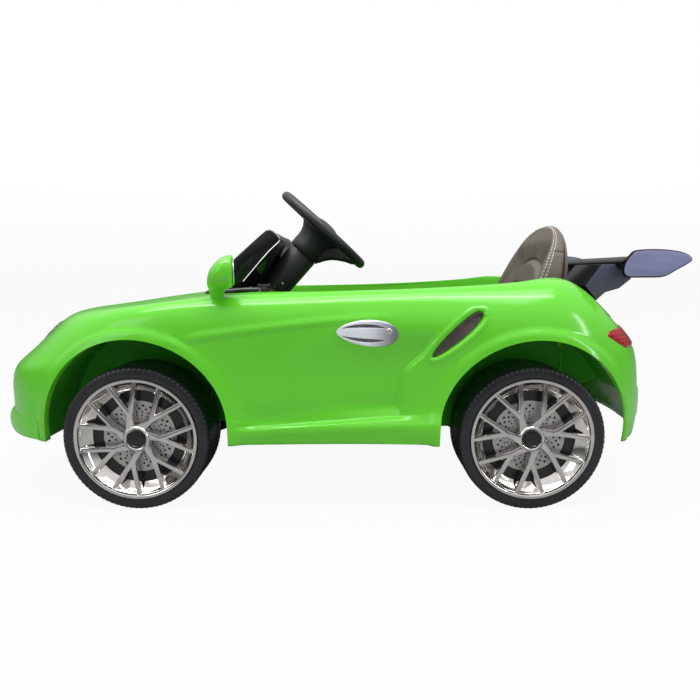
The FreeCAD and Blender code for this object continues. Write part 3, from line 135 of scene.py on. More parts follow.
sky = add_node(tree, "ShaderNodeMixShader", {0: direct.outputs[0], 1: glossy.outputs[0], 2: shown.outputs[0]})
add_node(tree, "ShaderNodeOutputWorld", {"Surface": sky.outputs[0]})

FLOOR_HALF, FLOOR_CLOUDS, FLOOR_SEEN = 14, 1.5, .94
bm = bmesh.new()
bmesh.ops.create_grid(bm, x_segments=1, y_segments=1, size=FLOOR_HALF)
floor_mesh = bpy.data.meshes.new("floor")
bm.to_mesh(floor_mesh)
bm.free()
pale_floor = bpy.data.materials.new("pale_floor")
pale_floor.use_nodes = True
tree = pale_floor.node_tree
tree.nodes.clear()
coords = add_node(tree, "ShaderNodeTexCoord")
cloudy = add_node(tree, "ShaderNodeTexNoise", {"Vector": coords.outputs["Object"], "Scale": FLOOR_CLOUDS})
tone = add_node(tree, "ShaderNodeMix", {"Factor": cloudy.outputs["Fac"], 6: srgb("#B9B9B9"),
                                        7: srgb("#C6C6C6")}, data_type="RGBA")
path = add_node(tree, "ShaderNodeLightPath")
mirrored = add_node(tree, "ShaderNodeMix", {"Factor": path.outputs["Is Glossy Ray"], 6: tone.outputs[2],
                                            7: srgb("#A4A4A4")}, data_type="RGBA")
matt = add_node(tree, "ShaderNodeBsdfDiffuse", {"Color": mirrored.outputs[2]})
glow = add_node(tree, "ShaderNodeEmission", {"Color": srgb("#FFFFFF"), "Strength": 1})
seen = add_node(tree, "ShaderNodeMath", {0: path.outputs["Is Camera Ray"], 1: FLOOR_SEEN},
                operation="MULTIPLY")
lit = add_node(tree, "ShaderNodeMixShader", {0: seen.outputs[0], 1: matt.outputs[0], 2: glow.outputs[0]})
add_node(tree, "ShaderNodeOutputMaterial", {"Surface": lit.outputs[0]})
floor_mesh.materials.append(pale_floor)
link_object("floor", floor_mesh)


# Floor, battery and drive
# Flat black moulded floor with the boxes that sit on it: battery, control box and the two geared motors.
# Injection-moulded ABS with a fine eroded grain, so it looks dull with small soft sparkles.
def new_finish(name, values=None):
    """A material with its node tree, its shader with some sockets set, and object coordinates."""
    made = bpy.data.materials.new(name)
    made.use_nodes = True
    tree = made.node_tree
    shader = tree.nodes["Principled BSDF"]
    for socket, value in (values or {}).items():
        shader.inputs[socket].default_value = value
    return made, tree, shader, add_node(tree, "ShaderNodeTexCoord").outputs["Object"]


def per_metre(millimetres):
    """Texture scale that repeats once in the given length."""
    return 1000 / millimetres


def noise(tree, place, size, detail):
    """Soft noise with patches of a size in millimetres."""
    made = add_node(tree, "ShaderNodeTexNoise", {"Vector": place, "Scale": per_metre(size), "Detail": detail})
    return made.outputs["Fac"]


def tinted(tree, shader, pattern, dark, light):
    """Lets a shader's colour wander between two hex codes with a pattern."""
    ends = {6: srgb(dark), 7: srgb(light)}
    mix = add_node(tree, "ShaderNodeMix", {"Factor": pattern, **ends}, data_type="RGBA")
    tree.links.new(mix.outputs[2], shader.inputs["Base Color"])


def dulled(tree, shader, pattern, least, most):
    """Lets a shader's roughness wander between two values with a pattern."""
    spread = add_node(tree, "ShaderNodeMapRange", {"Value": pattern, "To Min": least, "To Max": most})
    tree.links.new(spread.outputs[0], shader.inputs["Roughness"])


def embossed(tree, shader, pattern, strength, depth):
    """Gives a shader a fine relief from a pattern."""
    bump = add_node(tree, "ShaderNodeBump", {"Height": pattern, "Strength": strength, "Distance": depth})
    tree.links.new(bump.outputs[0], shader.inputs["Normal"])


def mottled(name, patches, tints, dull=None, grain=None, values=None):
    """A material whose colour, and dullness where that has two values, wander in patches of a size in
    millimetres and a detail. A grain has its own size, detail, strength and depth."""
    made, tree, shader, place = new_finish(name, values)
    clouds = noise(tree, place, *patches)
    tinted(tree, shader, clouds, *tints)
    if dull:
        dulled(tree, shader, clouds, *dull)
    if grain:
        size, detail, strength, depth = grain
        embossed(tree, shader, noise(tree, place, size, detail), strength, depth)
    return made


def paint(finish, *names):
    """Gives CAD pieces that are shown as they are their finish."""
    for name in names:
        data = nodes[name].data
        data.materials.clear()
        data.materials.append(finish)


black_abs = mottled("black_abs_grained", (70, 4), ("#161719", "#232427"), (.36, .56), (.9, 3, .12, .0003),
                    {"IOR": 1.53})
paint(black_abs, "floor_tray", "battery", "control_box", "drive_unit_left", "drive_unit_right",
      "charge_socket")

# Axles and steering links
# Bent and welded mild steel: bracket, knuckles, tie rod, shaft, axle and nuts. Bright zinc plating leaves a
# cloudy grey.
zinc_steel = mottled("zinc_plated_steel", (18, 5), ("#8D9094", "#C3C5C6"), (.28, .5), values={"Metallic": 1})
paint(zinc_steel, "front_axle_bracket", "knuckle_left", "knuckle_right", "axle_nut_front_left",
      "axle_nut_front_right", "rear_axle", "rear_axle_nuts", "tie_rod", "steering_shaft")


# Wheels
# Blow-moulded hard plastic wheels with a ribbed tread, a snap-on chrome cover of seven forked spokes, a
# drilled mock brake disc behind it and a plain black centre cap. They turn on plain steel axles.
SMOOTH_ANGLE, WELD = math.radians(38), .00002


def to_mesh(bm, name, *finishes):
    """Turns a bmesh into a mesh with smooth faces between sharp edges."""
    mesh = bpy.data.meshes.new(name)
    bm.to_mesh(mesh)
    bm.free()
    for finish in finishes:
        mesh.materials.append(finish)
    mesh.shade_smooth()
    mesh.set_sharp_from_angle(angle=SMOOTH_ANGLE)
    return mesh


def fit(mesh, body, slot, *replaced):
    """Makes a mesh a piece of the car that rides on a body and stands for CAD pieces."""
    thing = link_object(mesh.name, mesh)
    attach(thing, body)
    if replaced:
        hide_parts(*replaced)
    return thing


def verts_in(geometry):
    """The vertices among the parts that an operator gives back."""
    return [part for part in geometry if isinstance(part, bmesh.types.BMVert)]


def join(bm, *others):
    """Adds other pieces' faces to one piece."""
    for other in others:
        part = bpy.data.meshes.new("part")
        other.to_mesh(part)
        other.free()
        bm.from_mesh(part)
        bpy.data.meshes.remove(part)
    return bm


def lathed(section, steps, closed=True):
    """A piece spun from a section of (radius, along) points round the Y axis."""
    bm = bmesh.new()
    points = [bm.verts.new((radius, along, 0)) for radius, along in section]
    pairs = list(zip(points, points[1:] + points[:1] if closed else points[1:]))
    edges = [bm.edges.new(pair) for pair in pairs]
    bmesh.ops.spin(bm, geom=points + edges, cent=(0, 0, 0), axis=(0, 1, 0), dvec=(0, 0, 0),
                   angle=2 * math.pi, steps=steps, use_merge=True)
    bmesh.ops.remove_doubles(bm, verts=bm.verts, dist=WELD)
    bmesh.ops.recalc_face_normals(bm, faces=bm.faces)
    return bm


def repeat_round(bm, count):
    """Copies a piece evenly round the Y axis."""
    bmesh.ops.spin(bm, geom=bm.verts[:] + bm.edges[:] + bm.faces[:], cent=(0, 0, 0), axis=(0, 1, 0),
                   dvec=(0, 0, 0), angle=2 * math.pi * (count - 1) / count, steps=count - 1,
                   use_duplicate=True)


def round_edges(bm, edges, size, steps):
    """Rounds some edges of a piece."""
    bmesh.ops.bevel(bm, geom=edges, offset=size, segments=steps, profile=.5, affect="EDGES", material=-1)


hard_tyre = mottled("hard_tyre_plastic", (35, 6), ("#151619", "#24262B"), (.24, .42), (1.1, 2, .12, .0003))
chrome = mottled("chrome_plated_abs", (22, 2), ("#C2BEBA", "#E6E4E2"), (.03, .10), (22, 2, .25, .0010),
                 {"Metallic": 1})
disc_silver = mottled("brake_disc_silver", (4, 5), ("#A9A7A4", "#CFCDC9"),
                      values={"Metallic": .5, "Roughness": .36})
gloss_black = mottled("gloss_black_abs", (45, 5), ("#0D0E11", "#17191E"), (.08, .22))

TYRE_SECTION = [
    (.0051, -.030), (.020, -.030), (.020, .016), (.1055, .016), (.1055, -.0425), (.1075, -.0430),
    (.1121, -.0424), (.1141, -.0393), (.1146, -.0345), (.1146, .0345), (.1141, .0393), (.1121, .0424),
    (.1080, .0434), (.1040, .0437), (.1000, .0436), (.0972, .0424), (.0970, .022), (.020, .022), (.020, .024),
    (.0051, .024)]
TYRE_HALF, ROUND_STEPS = .0434, 112
tyre = lathed(TYRE_SECTION, ROUND_STEPS)
RIB_COUNT = 88
RIB_SECTION = [(.1042, .0441), (.1092, .0441), (.1126, .0428), (.1143, .0400), (.1149, .0355), (.1149, .016),
               (.1149, -.016), (.1149, -.0355), (.1143, -.0400), (.1126, -.0428), (.1085, -.0436)]
RIB_SPREADS = [math.radians(degrees) for degrees in (-1.65, -.88, .88, 1.65)]
RIB_SLANT, RIB_DEEP, RIB_ROOT = math.radians(15), .0030, .0985
rib = bmesh.new()
bmesh.ops.create_grid(rib, x_segments=len(RIB_SECTION) - 1, y_segments=len(RIB_SPREADS) - 1, size=.5)
for vert in rib.verts:
    across = round((vert.co.x + .5) * (len(RIB_SECTION) - 1))
    side = round((vert.co.y + .5) * (len(RIB_SPREADS) - 1))
    spot = Vector(RIB_SECTION[across])
    angle = RIB_SPREADS[side] + RIB_SLANT * spot.y / TYRE_HALF
    if side in (0, len(RIB_SPREADS) - 1):
        spot += RIB_DEEP * (Vector((RIB_ROOT, 0)) - spot).normalized()
    vert.co = (spot.x * math.sin(angle), spot.y, spot.x * math.cos(angle))
bmesh.ops.recalc_face_normals(rib, faces=rib.faces)
if sum(face.normal.dot(face.calc_center_median()) for face in rib.faces) < 0:
    bmesh.ops.reverse_faces(rib, faces=rib.faces)
repeat_round(rib, RIB_COUNT)
tyre_mesh = to_mesh(join(tyre, rib), "tyre", hard_tyre)

COVER_SECTION = [
    (.0966, .0235), (.0966, .0440), (.0960, .0450), (.0940, .0452), (.0922, .0448), (.0912, .0438),
    (.0908, .0405), (.0900, .0396), (.0892, .0384), (.0840, .0300), (.0750, .0243), (.0750, .0230)]
HUB_SECTION = [
    (.0115, .0244), (.0215, .0244), (.0212, .0385), (.0205, .0408), (.0188, .0420), (.0166, .0418),
    (.0152, .0405), (.0152, .0380), (.0115, .0380)]
SPOKE_COUNT = 7
SPOKE_OUTLINE = [
    (.0145, .0130), (.0062, .0370), (.0075, .0426), (.0255, .0881), (.0181, .0909), (.0008, .0500),
    (-.0165, .0909), (-.0239, .0881), (-.0059, .0426), (-.0039, .0385), (-.0020, .0200)]
SPOKE_BACK, SPOKE_RISE, SPOKE_EDGE = .0310, .0094, .0025
cover = bmesh.new()
base_face = cover.faces.new([cover.verts.new((x, SPOKE_BACK, z)) for x, z in SPOKE_OUTLINE])
top_verts = verts_in(bmesh.ops.extrude_face_region(cover, geom=[base_face])["geom"])
bmesh.ops.translate(cover, verts=top_verts, vec=(0, SPOKE_RISE, 0))
top_edges = [edge for edge in cover.edges if all(vert in top_verts for vert in edge.verts)]
round_edges(cover, top_edges, SPOKE_EDGE, 2)
bmesh.ops.recalc_face_normals(cover, faces=cover.faces)
repeat_round(cover, SPOKE_COUNT)
join(cover, lathed(COVER_SECTION, ROUND_STEPS), lathed(HUB_SECTION, ROUND_STEPS))
cover_mesh = to_mesh(cover, "wheel_cover", chrome)

DISC_RADII = [.0225, .0265, .0318, .0371, .0424, .0477, .0530, .0578]
DISC_STEPS, DISC_BACK, DISC_WALL = 54, .0221, .0014
HOLE_SHARE, HOLE_INSET, HOLE_GROUP, LARGEST_HOLE = .045, .0006, 8, .000030
disc = lathed([(radius, DISC_BACK + DISC_WALL) for radius in DISC_RADII], DISC_STEPS, closed=False)
drilled = []
for face in disc.faces:
    centre = face.calc_center_median()
    ring_index = sum(radius < math.hypot(centre.x, centre.z) for radius in DISC_RADII) - 1
    step_index = round(math.atan2(centre.x, centre.z) / (2 * math.pi) * DISC_STEPS - .5)
    in_rings = 0 < ring_index < len(DISC_RADII) - 2
    if in_rings and step_index % 2 == ring_index % 2 and step_index % HOLE_GROUP > 1:
        drilled.append(face)
bmesh.ops.inset_individual(disc, faces=drilled, thickness=HOLE_INSET)
rims = [edge for face in drilled for edge in face.edges]
bmesh.ops.subdivide_edges(disc, edges=rims, cuts=1)
holes = [face for face in disc.faces if len(face.verts) == 8 and face.calc_area() < LARGEST_HOLE]
for face in holes:
    centre = face.calc_center_median()
    for vert in face.verts:
        vert.co = centre + (vert.co - centre).normalized() * HOLE_SHARE * math.hypot(centre.x, centre.z)
bmesh.ops.delete(disc, geom=holes, context="FACES")
bmesh.ops.solidify(disc, geom=disc.faces[:], thickness=DISC_WALL)
bmesh.ops.recalc_face_normals(disc, faces=disc.faces)
disc_mesh = to_mesh(disc, "brake_disc", disc_silver)

CAP_SECTION = [(0, .0390), (.0146, .0390), (.0146, .0412), (.0138, .0419), (.0120, .0421), (.0115, .0415),
               (.0070, .0419), (0, .0420)]
cap_mesh = to_mesh(lathed(CAP_SECTION, 64, closed=False), "centre_cap", gloss_black)

SPOKE_TURNS = {"front_left": 12, "front_right": 30, "rear_left": 180, "rear_right": 75}
WHEEL_PIECES = [(tyre_mesh, "wheel_black", "wheel"), (cover_mesh, "chrome_cover", "hubcap"),
                (disc_mesh, "disc_silver", "brake_disc"), (cap_mesh, "black_gloss", "centre_cap")]
for corner, degrees in SPOKE_TURNS.items():
    low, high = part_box("wheel_" + corner)
    turn_out = Matrix.Rotation(math.pi, 4, "Z") if corner.endswith("left") else Matrix.Identity(4)
    pose = Matrix.Translation((low + high) / 2) @ turn_out @ Matrix.Rotation(math.radians(degrees), 4, "Y")
    for source, slot, kind in WHEEL_PIECES:
        mesh = source.copy()
        mesh.name = source.name + "_" + corner
        mesh.transform(pose)
        fit(mesh, "wheel_" + corner, slot, kind + "_" + corner)

# Body shell
# One blow-moulded polypropylene shell, coloured right through: outer skin, rolled cockpit rim and inner wall,
# with flared wheel arches. Glossy, with a faint orange-peel from the mould.
green_pp, tree, shader, place = new_finish("lime_green_polypropylene", {"IOR": 1.49})
tinted(tree, shader, noise(tree, place, 260, 2), "#5AC228", "#68CF32")
dulled(tree, shader, noise(tree, place, 60, 4), .11, .22)
embossed(tree, shader, noise(tree, place, 7, 1), .06, .0005)

HALF_LENGTH, HALF_WIDTH, SHELL_BOTTOM, RIM_PEAK = .585, .279, .108, .371
OUTER_SHARES = [
    (-.976, 0), (-.965, .341), (-.917, .591), (-.821, .806), (-.684, .918), (-.513, .968),
    (-.325, .961), (-.154, .946), (.034, .939), (.222, .953), (.393, .986), (.556, 1),
    (.701, .971), (.812, .871), (.889, .681), (.937, .376), (.952, 0)]
RIM_SHARES = [
    (-.248, 0), (-.248, .215), (-.246, .401), (-.239, .556), (-.219, .670), (-.181, .735),
    (-.123, .760), (-.034, .771), (.085, .778), (.222, .785), (.368, .785), (.504, .767),
    (.619, .706), (.680, .581), (.704, .412), (.715, .215), (.718, 0)]
PROFILE_SHARES = {
    0: [(.006, 0), (0, .08), (0, .18), (0, .28), (.010, .36), (.034, .42), (.078, .479), (.142, .559),
        (.204, .646), (.255, .722), (.32, .765), (.50, .803), (.78, .874), (.96, .8745), (1, .85),
        (1.01, .5), (1.02, 0)],
    3: [(.008, 0), (0, .08), (0, .18), (0, .28), (.006, .36), (.022, .43), (.066, .50), (.118, .58),
        (.176, .66), (.240, .735), (.34, .785), (.53, .825), (.78, .872), (.96, .876), (1, .85),
        (1.01, .5), (1.02, 0)],
    5: [(.015, 0), (.005, .08), (0, .18), (.004, .28), (.008, .4), (.015, .5), (.03, .59), (.07, .68),
        (.14, .755), (.25, .81), (.42, .845), (.62, .868), (.82, .885), (.96, .89), (1, .86),
        (1.01, .5), (1.03, 0)],
    7: [(.05, 0), (.015, .05), (0, .11), (.09, .155), (.12, .30), (.11, .45), (.07, .60), (.06, .69),
        (.12, .765), (.27, .825), (.47, .862), (.68, .885), (.85, .897), (.97, .895), (1, .865),
        (1.02, .5), (1.04, 0)],
    9: [(.11, 0), (.03, .05), (0, .12), (.17, .17), (.22, .30), (.19, .45), (.13, .60), (.11, .69),
        (.2, .775), (.38, .845), (.57, .885), (.76, .905), (.89, .912), (.97, .91), (1, .88),
        (1.02, .5), (1.05, 0)],
    11: [(.07, 0), (.02, .06), (0, .14), (.03, .25), (.03, .4), (.03, .52), (.05, .62), (.10, .70),
         (.19, .78), (.34, .85), (.53, .905), (.72, .935), (.87, .947), (.97, .945), (1, .915),
         (1.02, .5), (1.04, 0)],
    12: [(.05, 0), (.015, .06), (0, .14), (.01, .25), (.020, .4), (.045, .52), (.085, .61), (.14, .69),
         (.22, .77), (.35, .845), (.53, .915), (.72, .955), (.87, .973), (.97, .973), (1, .945),
         (1.01, .5), (1.03, 0)],
    14: [(.03, 0), (.01, .06), (0, .14), (.006, .25), (.026, .38), (.056, .49), (.115, .57), (.19, .625),
         (.30, .68), (.44, .745), (.58, .81), (.75, .875), (.88, .92), (.97, .935), (1, .91),
         (1.01, .5), (1.02, 0)],
    16: [(.02, 0), (0, .06), (0, .14), (.014, .25), (.032, .38), (.060, .48), (.115, .55), (.18, .61),
         (.28, .67), (.41, .735), (.56, .80), (.74, .865), (.88, .91), (.97, .925), (1, .90),
         (1.01, .5), (1.02, 0)]}
STATIONS = list(range(len(OUTER_SHARES)))
PROFILE_STATIONS = sorted(PROFILE_SHARES)
LEVELS = list(range(len(PROFILE_SHARES[0])))
STATION_STEPS, LEVEL_STEPS, SKIN_DEGREE = 3, 2, 3


def smooth(places, values, at):
    """A smooth curve through the given values."""
    last = len(places) - 1
    left = max(index for index in range(last) if index == 0 or places[index] <= at)

    def slope(index):
        low, high = max(index - 1, 0), min(index + 1, last)
        return (values[high] - values[low]) / (places[high] - places[low])

    width = places[left + 1] - places[left]
    share = (at - places[left]) / width
    square, cube = share ** 2, share ** 3
    return ((2 * cube - 3 * square + 1) * values[left] + (cube - 2 * square + share) * slope(left) * width
            + (3 * square - 2 * cube) * values[left + 1] + (cube - square) * slope(left + 1) * width)


def form_column(station):
    """Points of the right half's form at one station, from the outer bottom edge to the inner one."""
    outer, rim = [[smooth(STATIONS, [pair[axis] for pair in table], station) for axis in (0, 1)]
                  for table in (OUTER_SHARES, RIM_SHARES)]
    ways = [[smooth(PROFILE_STATIONS, [PROFILE_SHARES[key][level][axis] for key in PROFILE_STATIONS],
                    station) for level in LEVELS] for axis in (0, 1)]
    column = []
    for step in range((len(LEVELS) - 1) * LEVEL_STEPS + 1):
        inward, up = [smooth(LEVELS, way, step / LEVEL_STEPS) for way in ways]
        x = (outer[0] + inward * (rim[0] - outer[0])) * HALF_LENGTH
        y = (outer[1] + inward * (rim[1] - outer[1])) * HALF_WIDTH
        column.append((x, y, SHELL_BOTTOM + up * (RIM_PEAK - SHELL_BOTTOM)))
    return column


def skin_weights(count, shares):
    """How much each pole of a clamped cubic curve counts at each share of its length."""
    spans = count - SKIN_DEGREE
    knots = [0] * SKIN_DEGREE + list(range(spans + 1)) + [spans] * SKIN_DEGREE
    rows = []
    for share in shares:
        at = min(share * spans, spans - 1e-9)
        row = [1.0 if knots[i] <= at < knots[i + 1] else 0.0 for i in range(len(knots) - 1)]
        for degree in range(1, SKIN_DEGREE + 1):
            spread = [(knots[i + degree] - knots[i]) or 1 for i in range(len(row))
                      if i + degree < len(knots)]
            row = [(at - knots[i]) / spread[i] * row[i]
                   + (knots[i + degree + 1] - at) / spread[i + 1] * row[i + 1] for i in range(len(row) - 1)]
        rows.append(row)
    return numpy.array(rows)


FORM_STEPS = (len(STATIONS) - 1) * STATION_STEPS
form = numpy.array([form_column(step / STATION_STEPS) for step in range(FORM_STEPS + 1)])
form[0, :, 1] = form[-1, :, 1] = 0
form[1, :, ::2], form[-2, :, ::2] = form[0, :, ::2], form[-1, :, ::2]
STATION_CUTS, LEVEL_CUTS = 176, 100
station_shares = [index / STATION_CUTS for index in range(STATION_CUTS + 1)]
level_shares = [index / LEVEL_CUTS for index in range(LEVEL_CUTS + 1)]
skin_points = numpy.einsum("ua,vb,abk->uvk", skin_weights(form.shape[0], station_shares),
                           skin_weights(form.shape[1], level_shares), form)

WHEEL_RADIUS, ARCH_RADIUS, ARCH_RISE, WELL_EXTRA = .115, .146, .012, .008
FRONT_AXLE, REAR_AXLE = [(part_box("wheel_" + corner)[0].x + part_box("wheel_" + corner)[1].x) / 2
                         for corner in ("front_left", "rear_left")]
ARCH_TOP = WHEEL_RADIUS + ARCH_RISE


def nearest_axle(x):
    """Where the axle that lies nearer to a place is."""
    return min((FRONT_AXLE, REAR_AXLE), key=lambda axle: abs(axle - x))


def face_right(bm):
    """Turns a body's faces outward, judged by the one furthest to the right."""
    outermost = max(bm.faces, key=lambda face: face.calc_center_median().y)
    if outermost.normal.y < 0:
        bmesh.ops.reverse_faces(bm, faces=bm.faces)


def arch_gap(x, z):
    """Distance in the side view from the nearer wheel arch's edge, negative inside the opening."""
    along = min(abs(x - FRONT_AXLE), abs(x - REAR_AXLE))
    return (math.hypot(along, z - ARCH_TOP) if z > ARCH_TOP else along) - ARCH_RADIUS


def ease(value):
    """Smooth step from 0 to 1."""
    value = min(max(value, 0), 1)
    return value * value * (3 - 2 * value)


shell = bmesh.new()
bmesh.ops.create_grid(shell, x_segments=STATION_CUTS, y_segments=LEVEL_CUTS, size=.5)
level_of = shell.verts.layers.float.new("level")
for vert in shell.verts:
    column, row = round((vert.co.x + .5) * STATION_CUTS), round((vert.co.y + .5) * LEVEL_CUTS)
    vert[level_of] = level_shares[row]
    vert.co = skin_points[column, row]
shell.normal_update()
face_right(shell)

OUTER_LEVEL, INNER_LEVEL = .56, .82
for edge in shell.edges:
    if max(vert[level_of] for vert in edge.verts) > OUTER_LEVEL:
        continue
    first, second = edge.verts
    gaps = [arch_gap(vert.co.x, vert.co.z) for vert in edge.verts]
    if gaps[0] * gaps[1] < 0:
        nearer = first if abs(gaps[0]) < abs(gaps[1]) else second
        nearer.co = first.co.lerp(second.co, gaps[0] / (gaps[0] - gaps[1]))
EDGE_SLACK = .0004
for face in shell.faces[:]:
    if max(vert[level_of] for vert in face.verts) > OUTER_LEVEL or len(face.verts) != 4:
        continue
    gaps = [arch_gap(vert.co.x, vert.co.z) for vert in face.verts]
    if min(gaps) < -EDGE_SLACK and max(gaps) > EDGE_SLACK:
        on_edge = [vert for vert, gap in zip(face.verts, gaps) if abs(gap) <= EDGE_SLACK]
        if len(on_edge) == 2:
            bmesh.ops.connect_verts(shell, verts=on_edge)
FOOTWELL_HALF, FOOTWELL_TOP, FOOTWELL_BACK = .108, .275, -.096
WELL_WALLS = {FRONT_AXLE: .120, REAR_AXLE: .150}
WALL_OVERLAP = .007
gone = []
for face in shell.faces:
    centre = face.calc_center_median()
    level = sum(vert[level_of] for vert in face.verts) / len(face.verts)
    gap = arch_gap(centre.x, centre.z)
    if level < OUTER_LEVEL and gap < 0:
        gone.append(face)
    elif level > INNER_LEVEL:
        in_well = gap < WELL_EXTRA - WALL_OVERLAP and abs(centre.y) > WELL_WALLS[nearest_axle(centre.x)]
        under_dash = centre.x < FOOTWELL_BACK and centre.z < FOOTWELL_TOP
        in_footwell = under_dash and abs(centre.y) < FOOTWELL_HALF
        if in_well or in_footwell:
            gone.append(face)
bmesh.ops.delete(shell, geom=gone, context="FACES")

FLARE_OUT, FLARE_WIDTH, FLARE_FADE = .0042, .0085, .012
SCOOP_DEEP, SCOOP_EDGE, SCOOP_REACH, SCOOP_LOW, SCOOP_HIGH = .0070, .011, .210, .148, .300
SCOOP_HEIGHTS, SCOOP_PLACES = (.146, .190, .225, .250, .300), (.120, .125, .134, .157, .190)
SCOOP_FOOT, SCOOP_HEAD = .022, .060
FOLD_PLACES, FOLD_HEIGHTS = (-.235, -.160, -.005, .120), (.2690, .281, .299, .308)
FOLD_OUT, FOLD_WIDTH, FOLD_FADE = .0019, .011, .06
SILL_START, SILL_END, SILL_IN, SILL_OUT = (-.117, .1330), (.137, .1500), .0042, .0020
SILL_FORE, SILL_AFT, SILL_FADE = .036, .02, .05
SILL_STEP, HOLLOW_TOP, HOLLOW_FADE = .005, .045, .040
BEAD_TOP, BEAD_EDGE, BEAD_FOOT, BEAD_FADE = .001, .004, -.024, .016
VENT_CENTRE, VENT_TURN, VENT_HALF, VENT_TALL = (.2030, .2800), math.radians(43), .0500, .0104
VENT_DEEP, VENT_RIM, VENT_TIP, VENT_END = .0075, .0013, .58, .38
VENT_RIM_PLACE, VENT_RIM_WIDTH, VENT_BRINK, VENT_FADE = .0065, .0045, .0030, .005
lamp_low, lamp_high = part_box("headlight_right")
LAMP_CENTRE = (lamp_low + lamp_high).yz / 2 - Vector((.010, 0))
LAMP_HALF, LAMP_DEEP, LAMP_BACK, LAMP_BRINK, LAMP_FADE = (.038, .0225), .010, -.30, 1.06, .4


def leaf_half(share, tip, end):
    """Half width of a leaf along its length, 1 at the widest place."""
    share, peak = min(max(share, 0), 1), tip / (tip + end)
    return share ** tip * (1 - share) ** end / (peak ** tip * (1 - peak) ** end)


def vent_gap(x, z):
    """Distance in the side view from the vent's leaf outline, negative inside it."""
    dx, dz = x - VENT_CENTRE[0], z - VENT_CENTRE[1]
    along = dx * math.cos(VENT_TURN) + dz * math.sin(VENT_TURN)
    aside = abs(dz * math.cos(VENT_TURN) - dx * math.sin(VENT_TURN))
    gap = aside - VENT_TALL * leaf_half((along / VENT_HALF + 1) / 2, VENT_TIP, VENT_END)
    past = max(abs(along) - VENT_HALF, 0)
    return math.hypot(past, max(gap, 0)) if past > 0 or gap > 0 else gap


def lamp_share(y, z):
    """How far out a point of the nose lies on the headlight's oval, 1 on its edge."""
    return math.hypot((y - LAMP_CENTRE[0]) / LAMP_HALF[0], (z - LAMP_CENTRE[1]) / LAMP_HALF[1])


def scoop_depth(x, z):
    """How deep the door is hollowed in front of the rear fender's leading edge."""
    edge = smooth(SCOOP_HEIGHTS, SCOOP_PLACES, min(max(z, SCOOP_LOW), SCOOP_HIGH))
    across = ease((edge - x) / SCOOP_EDGE) * ease(1 - (edge - x) / SCOOP_REACH)
    return SCOOP_DEEP * across * ease((z - SCOOP_LOW) / SCOOP_FOOT) * ease((SCOOP_HIGH - z) / SCOOP_HEAD)


def sill_rise(x, z):
    """Height above the sill's crease, which climbs toward the back."""
    share = (x - SILL_START[0]) / (SILL_END[0] - SILL_START[0])
    return z - SILL_START[1] - share * (SILL_END[1] - SILL_START[1])


def sill_step(x, z):
    """How far the sill stands out below its crease and the door is drawn in above it."""
    rise = sill_rise(x, z)
    ends = ease((x - SILL_START[0] + SILL_FORE) / SILL_FADE) * ease((SILL_END[0] + SILL_AFT - x) / SILL_FADE)
    inward = SILL_IN * ease(rise / SILL_STEP) * ease((HOLLOW_TOP - rise) / HOLLOW_FADE)
    outward = SILL_OUT * ease((BEAD_TOP - rise) / BEAD_EDGE) * ease((rise - BEAD_FOOT) / BEAD_FADE)
    return ends * (outward - inward)


def fold_rise(x, z):
    """Height above the soft fold that runs from the front fender to the vent."""
    return z - smooth(FOLD_PLACES, FOLD_HEIGHTS, min(max(x, FOLD_PLACES[0]), FOLD_PLACES[-1]))


def fold_lift(x, z):
    """How far the door's skin stands out along that fold, fading at both its ends."""
    ends = ease((x - FOLD_PLACES[0]) / FOLD_FADE) * ease((FOLD_PLACES[-1] - x) / FOLD_FADE)
    return FOLD_OUT * ends * ease(1 - abs(fold_rise(x, z)) / FOLD_WIDTH)


VENT_FINE, LAMP_FINE, SILL_FINE, SCOOP_FINE, FINE_CUTS = .022, 1.35, .016, .024, 3
DOOR_FRONT, DOOR_BACK, DOOR_SIDE = -.187, .2, .2
fine_edges = {}
for face in shell.faces:
    centre = face.calc_center_median()
    if face.verts[0][level_of] > OUTER_LEVEL:
        continue
    near_vent = centre.x > 0 and vent_gap(centre.x, centre.z) < VENT_FINE
    near_lamp = centre.x < LAMP_BACK and lamp_share(centre.y, centre.z) < LAMP_FINE
    on_door = DOOR_FRONT < centre.x < DOOR_BACK and centre.y > DOOR_SIDE and centre.z < SCOOP_HIGH
    scoop_edge = smooth(SCOOP_HEIGHTS, SCOOP_PLACES, max(centre.z, SCOOP_LOW))
    near_scoop = on_door and abs(centre.x - scoop_edge) < SCOOP_FINE
    near_sill = on_door and abs(sill_rise(centre.x, centre.z)) < SILL_FINE
    in_fold = FOLD_PLACES[0] < centre.x < FOLD_PLACES[-1]
    near_fold = in_fold and abs(fold_rise(centre.x, centre.z)) < FOLD_WIDTH
    if near_vent or near_lamp or near_scoop or near_sill or near_fold:
        fine_edges.update(dict.fromkeys(face.edges))
bmesh.ops.subdivide_edges(shell, edges=list(fine_edges), cuts=FINE_CUTS, use_grid_fill=True)
shell.normal_update()
lifts = {}
for vert in shell.verts:
    if vert[level_of] > OUTER_LEVEL:
        continue
    x, y, z = vert.co
    lift = FLARE_OUT * ease((FLARE_WIDTH + FLARE_FADE - arch_gap(x, z)) / FLARE_FADE)
    lift += sill_step(x, z) + fold_lift(x, z) - scoop_depth(x, z)
    if x > 0:
        hollow = vent_gap(x, z)
        lift += VENT_RIM * ease(1 - abs(hollow - VENT_RIM_PLACE) / VENT_RIM_WIDTH)
        lift -= VENT_DEEP * ease((VENT_BRINK - hollow) / VENT_FADE)
    elif x < LAMP_BACK:
        lift -= LAMP_DEEP * ease((LAMP_BRINK - lamp_share(y, z)) / LAMP_FADE)
    lifts[vert] = vert.normal * lift
for vert, lift in lifts.items():
    vert.co += lift

NOTCH_REACH, NOTCH_TOP, ARCH_ROLL, ARCH_SLACK = .078, .178, (.003, .012), .002


